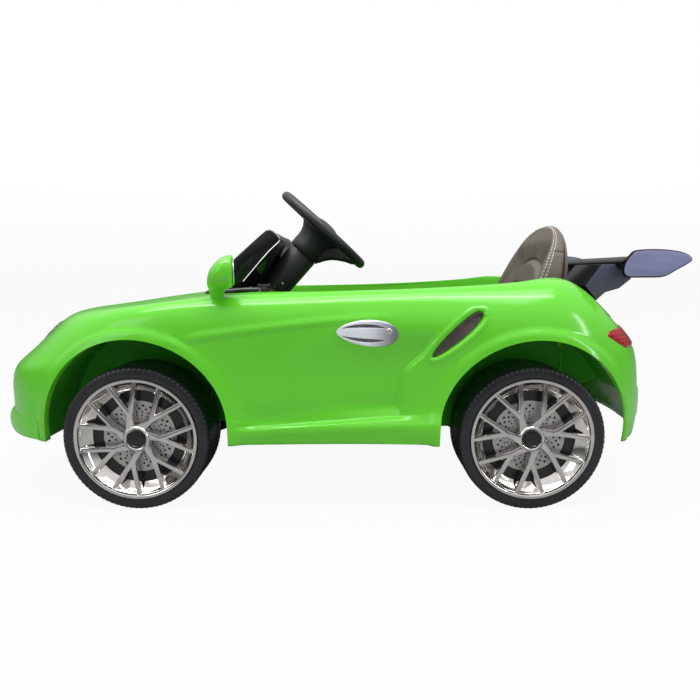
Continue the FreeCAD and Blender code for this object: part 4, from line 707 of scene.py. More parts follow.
def to_well_top(point):
    """Moves a point of the arch's rolled edge out to the roof of the wheel well."""
    axle = nearest_axle(point.x)
    out = (point - Vector((axle, point.y, min(point.z, ARCH_TOP)))).normalized()
    return point + out * WELL_EXTRA - Vector((0, ARCH_ROLL[0], 0))


def to_well_wall(point):
    """Moves a point of the well's roof in to its wall."""
    return Vector((point.x, WELL_WALLS[nearest_axle(point.x)], point.z))


def to_notch(point):
    """Moves a point of the well's wall to the notch that the axle passes."""
    axle = nearest_axle(point.x)
    reach = min(max(point.x - axle, -NOTCH_REACH), NOTCH_REACH)
    return Vector((axle + reach, point.y, min(point.z, NOTCH_TOP)))


arch_edges = [edge for edge in shell.edges if edge.is_boundary
              and all(vert[level_of] < OUTER_LEVEL and abs(arch_gap(vert.co.x, vert.co.z)) < ARCH_SLACK
                      for vert in edge.verts)]
rolls = [lambda point, inward=inward: point - Vector((0, inward, 0)) for inward in ARCH_ROLL]
# The well's roof, wall and notch take the second finish: a darker green that is painted shade inside the
# wheel wells.
for move in rolls + [to_well_top, to_well_wall, to_notch]:
    turned = bmesh.ops.extrude_edge_only(shell, edges=arch_edges)["geom"]
    for item in turned:
        if isinstance(item, bmesh.types.BMVert):
            item.co = move(item.co)
        elif isinstance(item, bmesh.types.BMFace):
            item.material_index = int(move not in rolls)
    arch_edges = [item for item in turned if isinstance(item, bmesh.types.BMEdge)]
MIDDLE_WELD = .0002
bmesh.ops.mirror(shell, geom=shell.verts[:] + shell.edges[:] + shell.faces[:], axis="Y",
                 merge_dist=MIDDLE_WELD)
bmesh.ops.recalc_face_normals(shell, faces=shell.faces)
face_right(shell)
skin = BVHTree.FromBMesh(shell)
SHELL_WALL = .0032


def thicken(piece, wall):
    """Gives a sheet its wall, on the inner side."""
    thickness = piece.modifiers.new("wall", "SOLIDIFY")
    thickness.thickness = wall
    thickness.offset = -1
    return piece


# Wheel wells: the body's green plastic darkened as painted shade, rougher and with a weaker reflection.
well_shade_pp = mottled("green_polypropylene_painted_well_shade", (90, 4), ("#3BA52A", "#4CB838"),
                    values={"Roughness": .55, "Specular IOR Level": .1})
body_mesh = to_mesh(shell, "body_skin", green_pp, well_shade_pp)
thicken(fit(body_mesh, "chassis", "green_body", "body_shell"), SHELL_WALL)


# Front lip
# A rounded splitter under the nose in the body's own plastic, screwed up from below. Its upper edge tucks
# behind the bumper and its ends run out toward the front wheels.
def patch(across, along, spot, finish_of=None):
    """A sheet whose points are placed by a function of two shares from -1 to 1."""
    sheet = bmesh.new()
    bmesh.ops.create_grid(sheet, x_segments=across, y_segments=along, size=1)
    if finish_of:
        for face in sheet.faces:
            centre = face.calc_center_median()
            face.material_index = finish_of(centre.x, centre.y)
    for vert in sheet.verts:
        vert.co = spot(vert.co.x, vert.co.y)
    bmesh.ops.remove_doubles(sheet, verts=sheet.verts, dist=WELD)
    return sheet


def face_toward(sheet, way):
    """Turns a sheet's faces to look along a direction."""
    bmesh.ops.recalc_face_normals(sheet, faces=sheet.faces)
    if sum((face.normal * face.calc_area() for face in sheet.faces), Vector()).dot(Vector(way)) < 0:
        bmesh.ops.reverse_faces(sheet, faces=sheet.faces)
    return sheet


LIP_LOW, LIP_HIGH, LIP_REACH, LIP_END_REACH, LIP_WALL = .104, .142, .0136, .0004, .0010
LIP_CENTRE, LIP_TURN, LIP_LEVEL = Vector((-.4385, 0, 0)), math.radians(86), .128
LIP_TAPER, LIP_RUNOUT = .6, .3
LIP_SHARES = [(0, -2), (0, .2), (.03, .55), (.13, .82), (.3, .97), (.48, 1), (.66, .92), (.80, .70),
              (.90, .42), (.97, .15), (1, 0), (1, -.3)]


def hit_skin(start, way):
    """Where a straight line first meets the body's skin, and the skin's direction there."""
    spot, normal = skin.ray_cast(Vector(start), Vector(way))[:2]
    return spot, normal if normal.dot(Vector(way)) < 0 else -normal


def lip_point(u, v):
    """A point of the lip: round the nose and up its section, thinner and shorter toward its ends."""
    up, out = LIP_SHARES[round((v + 1) / 2 * (len(LIP_SHARES) - 1))]
    way = Vector((-math.cos(u * LIP_TURN), math.sin(u * LIP_TURN), 0))
    spot, normal = hit_skin(LIP_CENTRE + way + Vector((0, 0, LIP_LEVEL)), -way)
    reach = LIP_END_REACH + (LIP_REACH - LIP_END_REACH) * ease((1 - abs(u)) / LIP_TAPER)
    flat = Vector((normal.x, normal.y, 0)).normalized()
    low = SHELL_BOTTOM - (SHELL_BOTTOM - LIP_LOW) * ease((1 - abs(u)) / LIP_RUNOUT)
    return Vector((spot.x, spot.y, low + up * (LIP_HIGH - low))) + flat * out * reach


lip = face_toward(patch(96, len(LIP_SHARES) - 1, lip_point), (-1, 0, 0))
thicken(fit(to_mesh(lip, "front_splitter", green_pp), "chassis", "green_body", "front_lip"), LIP_WALL)


# Lamps
# Headlights are chromed reflector bowls with two lamp domes, let into the nose under clear lenses. Tail
# lights are ribbed red lenses clipped on the rear corners.
def in_disc(u, v):
    """Spreads a square's shares over a disc."""
    return u * math.sqrt(1 - v * v / 2), v * math.sqrt(1 - u * u / 2)


def fit_pair(mesh, body, slot, *replaced):
    """Fits a right-hand piece and its mirrored left-hand twin."""
    twin = mesh.copy()
    twin.transform(Matrix.Scale(-1, 4, (0, 1, 0)))
    twin.flip_normals()
    pair = []
    for piece, side in ((mesh, "right"), (twin, "left")):
        piece.name = mesh.name.removesuffix("_right") + "_" + side
        pair.append(fit(piece, body, slot, *[name + side for name in replaced]))
    return pair


clear_lens, tree, shader, place = new_finish("clear_lamp_acrylic", {
    "Base Color": srgb("#F6F8F8"), "Transmission Weight": 1, "Roughness": .04, "IOR": 1.46})
ribs = add_node(tree, "ShaderNodeTexWave", {"Vector": place, "Scale": per_metre(38), "Distortion": .4},
                bands_direction="Y")
embossed(tree, shader, ribs.outputs["Fac"], .15, .0006)

red_lens, tree, shader, place = new_finish("red_lamp_acrylic", {"Roughness": .12, "Coat Weight": .12})
ribs = add_node(tree, "ShaderNodeTexWave", {"Vector": place, "Scale": per_metre(20)}, bands_direction="Z")
tinted(tree, shader, ribs.outputs["Fac"], "#8A0910", "#B4121B")
embossed(tree, shader, ribs.outputs["Fac"], .15, .0005)

DOME_PLACES, DOME_SHARE, DOME_RISE = (-.42, .40), .40, .0042
BOWL_SPREAD, BOWL_PROUD = 1.01, .0006
LENS_PROUD, LENS_DROP, LENS_WALL = .0019, .0012, .0012


def dome(share):
    """Height of a round dome at a share of its radius."""
    return math.sqrt(max(1 - share * share, 0))


def on_nose(u, v):
    """The nose's skin behind a place of the headlight's oval."""
    return hit_skin((-1, LAMP_CENTRE[0] + u * LAMP_HALF[0], LAMP_CENTRE[1] + v * LAMP_HALF[1]), (1, 0, 0))


def lamp_bowl_point(u, v):
    """A point of the reflector, which lines the nose's hollow and carries two domes."""
    u, v = in_disc(u, v)
    spot, normal = on_nose(u * BOWL_SPREAD, v * BOWL_SPREAD)
    stretch = LAMP_HALF[1] / LAMP_HALF[0]
    off_dome = min(math.hypot(u - middle, v * stretch) for middle in DOME_PLACES) / DOME_SHARE
    return spot + normal * (BOWL_PROUD + DOME_RISE * dome(off_dome))


def lamp_lens_point(u, v):
    """A point of the lens, which bridges the hollow and bulges a little."""
    u, v = in_disc(u, v)
    out = math.hypot(u, v)
    spot, normal = on_nose(u, v)
    bridge = LAMP_DEEP * ease((LAMP_BRINK - out) / LAMP_FADE)
    return spot + normal * (bridge + LENS_PROUD - LENS_DROP * out ** 4)


bowl = face_toward(patch(40, 28, lamp_bowl_point), (-1, 0, 0))
fit_pair(to_mesh(bowl, "headlight_bowl", chrome), "chassis", "silver_trim")
lens = face_toward(patch(40, 28, lamp_lens_point), (-1, 0, 0))
for piece in fit_pair(to_mesh(lens, "headlight_lens", clear_lens), "chassis", "clear_lens", "headlight_"):
    thicken(piece, LENS_WALL)

TAIL_CENTRE, TAIL_LOW, TAIL_HIGH, TAIL_START = Vector((.40, .13, 0)), .2560, .2870, 8
TAIL_HEIGHTS, TAIL_ENDS = (-1, -.2, .35, .75, 1), (55, 66, 73, 71, 62)
TAIL_PROUD, TAIL_RISE, TAIL_EDGE, TAIL_CORNER = .0004, .0018, .16, .04
TAIL_RIBS, TAIL_RIB_RISE = 9, .00012


def tail_light_point(u, v):
    """A point of the tail light, wrapped round the rear corner, with a rounded edge and fine ribs."""
    corner = 1 - TAIL_CORNER * (u * v) ** 4
    end = smooth(TAIL_HEIGHTS, TAIL_ENDS, v)
    turn = math.radians(TAIL_START + (end - TAIL_START) * (u * corner + 1) / 2)
    z = TAIL_LOW + (TAIL_HIGH - TAIL_LOW) * (v * corner + 1) / 2
    way = Vector((math.cos(turn), math.sin(turn), 0))
    spot, normal = hit_skin(TAIL_CENTRE + way + Vector((0, 0, z)), -way)
    edge = ease((1 - max(abs(u), abs(v))) / TAIL_EDGE)
    rib_rise = TAIL_RIB_RISE * math.cos(TAIL_RIBS * math.pi * v)
    return spot + normal * (TAIL_PROUD + (TAIL_RISE + rib_rise) * edge)


tail_light = face_toward(patch(44, 40, tail_light_point), (1, 0, 0))
tail_mesh = to_mesh(tail_light, "tail_light_lens", red_lens)
for piece in fit_pair(tail_mesh, "chassis", "red_lens", "tail_light_"):
    thicken(piece, LENS_WALL)

# Rear bumper panel
# A raised panel of the body's own plastic on the tail, with a long air slot whose sunk floor is black as
# painted shade. It is moulded apart and held by screws from inside.
BUMPER_HALF, BUMPER_LOW, BUMPER_HIGH, BUMPER_RISE = .178, .110, .186, .0105
BUMPER_EDGE, BUMPER_SQUARENESS, BUMPER_PROUD = .34, 8, .0003
SLOT_HALF_SHARE, SLOT_PLACE, SLOT_TALL, SLOT_DEEP = .74, .12, .34, .0048
SLOT_END, SLOT_EDGE, SLOT_SHADED = .03, .12, .6


def slot_depth(u, v):
    """How deep a place of the bumper panel lies in its air slot, from 0 to 1."""
    return ease((SLOT_HALF_SHARE - abs(u)) / SLOT_END) * ease((SLOT_TALL - abs(v - SLOT_PLACE)) / SLOT_EDGE)


def bumper_point(u, v):
    """A point of the panel, which swells from the tail's skin and sinks in at the slot."""
    z = BUMPER_LOW + (BUMPER_HIGH - BUMPER_LOW) * (v + 1) / 2
    spot, normal = hit_skin((1, u * BUMPER_HALF, z), (-1, 0, 0))
    out = (u ** BUMPER_SQUARENESS + v ** BUMPER_SQUARENESS) ** (1 / BUMPER_SQUARENESS)
    rise = BUMPER_RISE * ease((1 - out) / BUMPER_EDGE)
    return spot + normal * (BUMPER_PROUD + rise - SLOT_DEEP * slot_depth(u, v))


# The slot's deepest faces take black plastic: painted shade inside the slot.
panel = patch(96, 36, bumper_point, lambda u, v: int(slot_depth(u, v) > SLOT_SHADED))
panel_mesh = to_mesh(face_toward(panel, (1, 0, 0)), "bumper_panel", green_pp, black_abs)
fit(panel_mesh, "chassis", "green_body", "rear_bumper_panel")

# Side vents
# Dark plastic leaves pressed into the shell's recesses behind the doors: a closed back with a fine grille
# of crossed bars standing on it.
vent_grey = mottled("vent_grey_plastic", (9, 5), ("#544D49", "#756C66"), values={"Roughness": .5})
GRILLE_BARS, GRILLE_WALL, GRILLE_LONG, GRILLE_TALL, GRILLE_PROUD = (44, 11), .0009, .95, .94, .0024
BACK_CUTS, BACK_LONG, BACK_PROUD = (36, 8), .985, .0008


def leaf_share(u):
    """Share along a leaf, with the cuts set closer toward its tips."""
    return (1 - math.cos(math.pi * (u + 1) / 2)) / 2


def vent_point(u, v, proud):
    """A point of the vent's leaf at a height above its recess."""
    share = leaf_share(u)
    along = VENT_HALF * (2 * share - 1)
    aside = v * VENT_TALL * leaf_half(share, VENT_TIP, VENT_END)
    x = VENT_CENTRE[0] + along * math.cos(VENT_TURN) - aside * math.sin(VENT_TURN)
    z = VENT_CENTRE[1] + along * math.sin(VENT_TURN) + aside * math.cos(VENT_TURN)
    spot, normal = hit_skin((x, 1, z), (0, -1, 0))
    return spot + normal * proud


grille = patch(*GRILLE_BARS, lambda u, v: vent_point(u * GRILLE_LONG, v * GRILLE_TALL, GRILLE_PROUD))
face_toward(grille, (0, 1, 0))
bmesh.ops.wireframe(grille, faces=grille.faces, thickness=GRILLE_WALL, use_replace=True, use_boundary=True,
                    use_even_offset=False)
backing = patch(*BACK_CUTS, lambda u, v: vent_point(u * BACK_LONG, v, BACK_PROUD))
join(grille, face_toward(backing, (0, 1, 0)))
fit_pair(to_mesh(grille, "side_vent_grille", vent_grey), "chassis", "vent_mesh", "side_vent_")

# Door handles
# Silver plastic leaves stuck on the doors and moulded to look like a pull: a bright rim, a raised bar with
# a hollow above and below it, and a round lock. The hollows and the rear end are darkened as painted shade.
silver_trim, tree, shader, place = new_finish("silver_lacquered_abs", {"Metallic": .1, "Roughness": .24})
bright = add_node(tree, "ShaderNodeMix", {"Factor": noise(tree, place, 6, 6), 6: srgb("#D6D9E2"),
                                          7: srgb("#ECEEF5")}, data_type="RGBA")
# The leaf's silver fades to grey toward its rear end between these places along the car: painted shade.
SHADE_START, SHADE_END = .070, .108
length = add_node(tree, "ShaderNodeSeparateXYZ", {"Vector": place})
shade = add_node(tree, "ShaderNodeMapRange", {"Value": length.outputs["X"], "From Min": SHADE_START,
                                             "From Max": SHADE_END})
tint = add_node(tree, "ShaderNodeMix", {"Factor": shade.outputs[0], 6: bright.outputs[2], 7: srgb("#77747F")},
                data_type="RGBA")
tree.links.new(tint.outputs[2], shader.inputs["Base Color"])
# Darker silver for the handle's hollows: painted shade.
hollow_shade_grey = mottled("silver_abs_painted_hollow_shade", (5, 6), ("#57535F", "#75717D"),
                      values={"Metallic": .5, "Roughness": .4})

HANDLE_CENTRE, HANDLE_HALF, HANDLE_TALL, HANDLE_TIP, HANDLE_END = (.066, .2822), .047, .0208, .62, .42
HANDLE_LIFT, HANDLE_FALL = .002, .004
HANDLE_PROUD, HANDLE_RISE, HANDLE_EDGE, HANDLE_WALL = .0004, .0017, .12, .0010
GROOVE_START, GROOVE_LONG, GROOVE_HALF, GROOVE_LEAST = .07, .72, .17, .001
GROOVE_AWAY, GROOVE_CLOSING, GROOVE_EDGE, GROOVE_DEEP, GROOVE_DARK = .60, .10, .07, .0014, .35
LOCK_SHARE, LOCK_RADIUS, LOCK_RISE, LOCK_HALF = (.86, .28), .0042, .0016, .8


def handle_groove(share, v):
    """How deep a place lies in the hollows above and below the handle's bar, from 0 to 1."""
    along = (share - GROOVE_START) / GROOVE_LONG
    width = GROOVE_HALF * math.sqrt(max(math.sin(math.pi * min(max(along, 0), 1)), 0)) + GROOVE_LEAST
    return ease((width - abs(abs(v) - GROOVE_AWAY + GROOVE_CLOSING * along)) / GROOVE_EDGE)


def lock_gap(share, v, half):
    """How far a place lies from the lock's middle, 1 on its edge."""
    return math.hypot((share - LOCK_SHARE[0]) * 2 * HANDLE_HALF, (v - LOCK_SHARE[1]) * half) / LOCK_RADIUS


def handle_point(u, v):
    """A point of the handle's leaf on the door, with its rim, hollows and lock."""
    share = leaf_share(u)
    x = HANDLE_CENTRE[0] + HANDLE_HALF * (2 * share - 1)
    half = HANDLE_TALL * leaf_half(share, HANDLE_TIP, HANDLE_END)
    z = HANDLE_CENTRE[1] + HANDLE_LIFT - HANDLE_FALL * share + v * half
    spot, normal = hit_skin((x, 1, z), (0, -1, 0))
    rise = HANDLE_PROUD + HANDLE_RISE * ease((1 - abs(v)) / HANDLE_EDGE)
    rise -= GROOVE_DEEP * handle_groove(share, v)
    return spot + normal * (rise + LOCK_RISE * dome(lock_gap(share, v, half)))


def handle_finish(u, v):
    """Which finish a place of the handle has: silver, shaded in the hollows, chrome on the lock."""
    share = leaf_share(u)
    on_lock = lock_gap(share, v, HANDLE_TALL * LOCK_HALF) < 1
    return 2 if on_lock else int(handle_groove(share, v) > GROOVE_DARK)


handle = face_toward(patch(132, 84, handle_point, handle_finish), (0, 1, 0))
handle_mesh = to_mesh(handle, "door_handle_leaf", silver_trim, hollow_shade_grey, chrome)
for piece in fit_pair(handle_mesh, "chassis", "silver_trim", "door_handle_"):
    thicken(piece, HANDLE_WALL)

# Mirrors
# Green housings moulded with their stalks and plugged into the front fenders. Each holds a flat mirror of
# silvered acrylic that looks back.
silvered = mottled("silvered_acrylic", (30, 3), ("#D5DCDE", "#E6ECEC"), (.01, .06), values={"Metallic": 1})

# Each level has its height, its front, its back, its half width, its middle, and how flat its back is.
MIRROR_LEVELS = [
    (.3200, -.1770, -.1560, .0112, .2280, 1), (.3340, -.1767, -.1560, .0110, .2310, 1),
    (.3420, -.1765, -.1555, .0116, .2350, .9), (.3475, -.1765, -.1510, .0142, .2395, .7),
    (.3510, -.1765, -.1415, .0185, .2440, .45), (.3560, -.1765, -.1380, .0240, .2475, .32),
    (.3640, -.1760, -.1370, .0290, .2500, .28), (.3750, -.1730, -.1367, .0306, .2500, .28),
    (.3840, -.1675, -.1367, .0296, .2500, .28), (.3905, -.1612, -.1369, .0262, .2500, .30),
    (.3955, -.1545, -.1373, .0200, .2500, .36), (.3985, -.1480, -.1379, .0120, .2500, .5),
    (.3999, -.1430, -.1387, .0040, .2500, .8)]
MIRROR_STEPS = list(range(len(MIRROR_LEVELS)))
MIRROR_PIVOT, MIRROR_TURN = Vector((-.160, .250, 0)), math.radians(-11)
MIRROR_NECK, MIRROR_HEAD, FLATTEST_BACK, BACK_ROUNDING = .346, .362, .25, .75


def turned_in(point):
    """Turns the mirror's head toward the driver, above its stalk."""
    share = ease((point.z - MIRROR_NECK) / (MIRROR_HEAD - MIRROR_NECK))
    return MIRROR_PIVOT + Matrix.Rotation(share * MIRROR_TURN, 3, "Z") @ (point - MIRROR_PIVOT)


def mirror_point(u, v):
    """A point of the housing: round its level and up its height."""
    at = (v + 1) / 2 * MIRROR_STEPS[-1]
    parts = [smooth(MIRROR_STEPS, values, at) for values in zip(*MIRROR_LEVELS)]
    high, front, back, half, middle, flat = parts
    along, across = math.cos(math.pi * u), math.sin(math.pi * u)
    reach = along ** max(flat, FLATTEST_BACK) if along > 0 else -abs(along)
    x = (front + back) / 2 + (back - front) / 2 * reach
    y = middle + half * math.copysign(abs(across) ** (BACK_ROUNDING if along > 0 else 1), across)
    return turned_in(Vector((x, y, high)))


mirror = patch(56, 60, mirror_point)
bmesh.ops.holes_fill(mirror, edges=[edge for edge in mirror.edges if edge.is_boundary])
bmesh.ops.recalc_face_normals(mirror, faces=mirror.faces)
fit_pair(to_mesh(mirror, "mirror_shell", green_pp), "chassis", "green_body", "mirror_housing_")
GLASS_CENTRE, GLASS_HALF, GLASS_FACE = (.250, .3745), (.0256, .0196), -.1353
GLASS_BRINK, GLASS_DROP, GLASS_WALL = .93, .0012, .0015


def glass_point(u, v):
    """A point of the mirror's plate, which is flat with a rounded edge."""
    u, v = in_disc(u, v)
    edge = ease((math.hypot(u, v) - GLASS_BRINK) / (1 - GLASS_BRINK))
    return turned_in(Vector((GLASS_FACE - GLASS_DROP * edge, GLASS_CENTRE[0] + u * GLASS_HALF[0],
                             GLASS_CENTRE[1] + v * GLASS_HALF[1])))


glass = face_toward(patch(40, 30, glass_point), (1, 0, 0))
for piece in fit_pair(to_mesh(glass, "mirror_plate", silvered), "chassis", "mirror_glass", "mirror_glass_"):
    thicken(piece, GLASS_WALL)


# Dashboard
# A glossy black moulding on the cowl: a shelf with the switches, and a thick binnacle that leans back to the
# driver, bulges toward the middle and has a chrome line round each end.
def block(low, high):
    """A block between two corners."""
    made = bmesh.new()
    low, high = Vector(low), Vector(high)
    bmesh.ops.create_cube(made, size=1, matrix=Matrix.Translation((low + high) / 2)
                          @ Matrix.Diagonal((*(high - low), 1)))
    return made


NEARLY_ALONG = .9


def piping(points, radius, sides=8):
    """A thin round strip along a row of points."""
    last = len(points) - 1

    def spot(u, v):
        index = round((u + 1) / 2 * last)
        way = (points[min(index + 1, last)] - points[max(index - 1, 0)]).normalized()
        side = way.cross(Vector((0, 1, 0)) if abs(way.y) < NEARLY_ALONG else Vector((1, 0, 0))).normalized()
        round_way = side * math.cos(math.pi * v) + way.cross(side) * math.sin(math.pi * v)
        return points[index] + radius * round_way

    strip = patch(last, sides, spot)
    bmesh.ops.holes_fill(strip, edges=[edge for edge in strip.edges if edge.is_boundary])
    bmesh.ops.recalc_face_normals(strip, faces=strip.faces)
    return strip


DASH_FRONT, DASH_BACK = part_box("dashboard")[0].x, -.096
DASH_HALF, DASH_LOW, DASH_TOP, DASH_FALL, DASH_FLAT = .170, .328, .350, .007, .02
DASH_CORNER, DASH_BRIM, DASH_SLACK = .034, .006, .001
dash = block((DASH_FRONT, -DASH_HALF, DASH_LOW), (DASH_BACK, DASH_HALF, DASH_TOP))
upright = [edge for edge in dash.edges if abs(edge.verts[0].co.z - edge.verts[1].co.z) > DASH_SLACK]
round_edges(dash, upright, DASH_CORNER, 8)
for vert in dash.verts:
    if vert.co.z > DASH_TOP - DASH_SLACK:
        vert.co.z -= DASH_FALL * ease((DASH_BACK - DASH_FLAT - vert.co.x) / (DASH_BACK - DASH_FRONT))
top_level = DASH_TOP - DASH_FALL - DASH_SLACK
brim = [edge for edge in dash.edges if min(vert.co.z for vert in edge.verts) > top_level]
round_edges(dash, brim, DASH_BRIM, 4)
bmesh.ops.recalc_face_normals(dash, faces=dash.faces)

VISOR_LEAN, VISOR_WALL, VISOR_LENGTH, VISOR_HALF = math.radians(32.6), .030, .124, .125
visor_up = Vector((math.sin(VISOR_LEAN), 0, math.cos(VISOR_LEAN)))
visor_back = Vector((math.cos(VISOR_LEAN), 0, -math.sin(VISOR_LEAN)))
VISOR_SUNK = .005
visor_foot = Vector((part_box("dashboard")[1].x, 0, DASH_TOP - VISOR_SUNK)) - Vector(
    (visor_up.x * VISOR_LENGTH + visor_back.x * VISOR_WALL, 0, 0))
# The binnacle's end in its own plane: how far up and how far back, from its rear foot over the top.
VISOR_END = [
    (0, .0080), (.023, .0112), (.045, .0145), (.070, .0182), (.090, .0215), (.104, .0252), (.112, .0275),
    (.1165, .0278), (.1205, .0240), (.1228, .0175), (.1236, .0105), (.1228, .0040), (.1187, -.0010),
    (.104, -.0057), (.080, -.0127), (.0446, -.0229), (.014, -.0250), (-.0151, -.0240)]
VISOR_MIDDLE = [
    (0, .0200), (.020, .0268), (.045, .0284), (.070, .0290), (.090, .0292), (.104, .0294), (.112, .0297)]
VISOR_MIDDLE += VISOR_END[len(VISOR_MIDDLE):]
VISOR_EDGE, VISOR_SWELL = .0022, .5


def visor_point(u, v):
    """A point of the binnacle: across the car and round its section, which swells toward the middle."""
    index = round((v + 1) / 2 * len(VISOR_END)) % len(VISOR_END)
    full = ease((1 - abs(u)) / VISOR_SWELL)
    up, back = [end + full * (middle - end) for end, middle in zip(VISOR_END[index], VISOR_MIDDLE[index])]
    return visor_foot + visor_up * up + visor_back * back + Vector((0, u * VISOR_HALF, 0))


visor = patch(48, len(VISOR_END), visor_point)
end_edges = [edge for edge in visor.edges if edge.is_boundary]
bmesh.ops.holes_fill(visor, edges=end_edges)
bmesh.ops.recalc_face_normals(visor, faces=visor.faces)
round_edges(visor, end_edges, VISOR_EDGE, 3)
join(dash, visor)
fit(to_mesh(dash, "dashboard_moulding", gloss_black), "chassis", "black_gloss", "dashboard")

LINE_RADIUS, LINE_PROUD, LINE_INSET = .0012, .0002, .0009
chrome_line = bmesh.new()
for side in (-1, 1):
    aside = Vector((0, side * (VISOR_HALF - LINE_INSET), 0))
    line = [visor_foot + visor_up * up + visor_back * (back + LINE_PROUD) + aside
            for up, back in VISOR_END[1:12]]
    join(chrome_line, piping(line, LINE_RADIUS))
fit(to_mesh(chrome_line, "binnacle_chrome_line", chrome), "chassis", "silver_trim")

# Switches
# A red push button for power and a black rocker for direction, both moulded ABS, snapped into plain holes in
# the dashboard's shelf.
red_gloss = mottled("red_button_abs", (8, 4), ("#A51218", "#C8222A"), values={"Roughness": .22})
SWITCH_X, SWITCH_Y = -.112, .108
BUTTON_SECTION = [(0, .0070), (.0050, .0069), (.0072, .0064), (.0086, .0052), (.0090, .0038), (.0088, .0031),
                  (.0050, .0030), (.0050, -.0120), (0, -.0120)]
button_mesh = to_mesh(lathed(BUTTON_SECTION, 48, closed=False), "power_push_button", red_gloss)
button_place = Matrix.Translation((SWITCH_X, SWITCH_Y, DASH_TOP))
button_mesh.transform(button_place @ Matrix.Rotation(math.pi / 2, 4, "X"))
fit(button_mesh, "power_button", "red_button", "power_button")
ROCKER_HALF, ROCKER_LENGTH, ROCKER_FOOT = .008, .011, .008
ROCKER_BRIM, ROCKER_RISE, ROCKER_EDGE, ROCKER_DIP = .0016, .0032, .12, .45


def rocker_point(u, v):
    """The rocker's crown: two finger slopes that meet in a low middle."""
    edge = ease((1 - max(abs(u), abs(v))) / ROCKER_EDGE)
    rise = ROCKER_BRIM + ROCKER_RISE * edge * (1 - ROCKER_DIP + ROCKER_DIP * u * u)
    return Vector((SWITCH_X + u * ROCKER_LENGTH, -SWITCH_Y + v * ROCKER_HALF, DASH_TOP + rise))


rocker = face_toward(patch(28, 20, rocker_point), (0, 0, 1))
brink = [edge for edge in rocker.edges if edge.is_boundary]
for vert in verts_in(bmesh.ops.extrude_edge_only(rocker, edges=brink)["geom"]):
    vert.co.z = DASH_TOP - ROCKER_FOOT
bmesh.ops.holes_fill(rocker, edges=[edge for edge in rocker.edges if edge.is_boundary])
bmesh.ops.recalc_face_normals(rocker, faces=rocker.faces)
fit(to_mesh(rocker, "direction_rocker", black_abs), "direction_switch", "black_matte", "direction_switch")

# Steering column
# A plain black tube with a collar groove under the wheel and a screw in its left side. It stands on the cowl
# and leans back toward the driver.
COLUMN_TOP, COLUMN_TILT = Vector((-.0106, 0, .454)), math.radians(42)
column_frame = (Matrix.Translation(COLUMN_TOP) @ Matrix.Rotation(COLUMN_TILT, 4, "Y")
                @ Matrix.Rotation(math.pi / 2, 4, "X"))
COLUMN_SECTION = [
    (.0065, -.1648), (.0280, -.1648), (.0290, -.1638), (.0290, -.0608), (.0284, -.0600), (.0268, -.0598),
    (.0268, -.0530), (.0260, -.0522), (.0065, -.0522)]
column_mesh = to_mesh(lathed(COLUMN_SECTION, 72), "column_tube", black_abs)
column_mesh.transform(column_frame)
fit(column_mesh, "chassis", "black_matte", "column_housing")
SCREW_SECTION = [(0, .0012), (.0012, .0012), (.0024, .0009), (.0032, .0002), (.0032, -.0006), (0, -.0006)]
screw_mesh = to_mesh(lathed(SCREW_SECTION, 24, closed=False), "column_screw", zinc_steel)
SCREW_PLACE = Vector((.0099, -.1289, .0273))
screw_turn = Vector((0, 1, 0)).rotation_difference(Vector((SCREW_PLACE.x, 0, SCREW_PLACE.z)))
screw_mesh.transform(column_frame @ Matrix.Translation(SCREW_PLACE) @ screw_turn.to_matrix().to_4x4())
fit(screw_mesh, "chassis", "steel")


# Steering wheel
# Black plastic wheel: round rim, three flat spokes and a flared boss pinned on the shaft. A soft pad in the
# middle sounds the horn when it is pressed.
def rounded_block(low, high, size, steps=3):
    """A block with all its edges rounded."""
    made = block(low, high)
    round_edges(made, made.edges[:], size, steps)
    return made


def slab(outline, start, wall, edge, steps=4):
    """An upright slab over a side-view outline, with rounded edges."""
    board = bmesh.new()
    side = board.faces.new([board.verts.new((x, start, z)) for x, z in outline])
    raised = verts_in(bmesh.ops.extrude_face_region(board, geom=[side])["geom"])
    bmesh.ops.translate(board, verts=raised, vec=(0, wall, 0))
    bmesh.ops.recalc_face_normals(board, faces=board.faces)
    borders = [border for border in board.edges
               if any(abs(face.normal.y) > NEARLY_ALONG for face in border.link_faces)]
    round_edges(board, borders, edge, steps)
    bmesh.ops.recalc_face_normals(board, faces=board.faces)
    return board


RIM_RING, RIM_RADIUS, RIM_POINTS = .0945, .0088, 18
rim_section = [(RIM_RING + RIM_RADIUS * math.cos(turn), RIM_RADIUS * math.sin(turn))
               for turn in [2 * math.pi * index / RIM_POINTS for index in range(RIM_POINTS)]]
BOSS_SECTION = [
    (.0062, -.0498), (.0284, -.0498), (.0284, -.0586), (.0292, -.0592), (.0312, -.0586), (.0322, -.0570),
    (.0325, -.0440), (.0322, -.0380), (.0330, -.0300), (.0362, -.0200), (.0410, -.0130), (.0450, -.0090),
    (.0460, -.0050), (.0440, -.0010), (.0400, .0016), (.0340, .0020), (.0062, .0020)]
wheel = join(lathed(rim_section, ROUND_STEPS), lathed(BOSS_SECTION, 80))
SPOKE_LOW, SPOKE_TOP, SPOKE_START, SPOKE_REACH, SPOKE_HALF = -.0080, .0002, .034, .091, .0130
SPOKE_ROUND, SPOKE_INNER_WIDTH, SPOKE_NARROWING = .0024, 1.35, .5
for turn in (0, -90, 90):
    spoke = rounded_block((SPOKE_START, SPOKE_LOW, -SPOKE_HALF), (SPOKE_REACH, SPOKE_TOP, SPOKE_HALF),
                          SPOKE_ROUND)
    for vert in spoke.verts:
        outward = (vert.co.x - SPOKE_START) / (SPOKE_REACH - SPOKE_START)
        vert.co.z *= SPOKE_INNER_WIDTH - SPOKE_NARROWING * outward
    bmesh.ops.rotate(spoke, verts=spoke.verts, matrix=Matrix.Rotation(math.radians(turn), 3, "Y"))
    join(wheel, spoke)
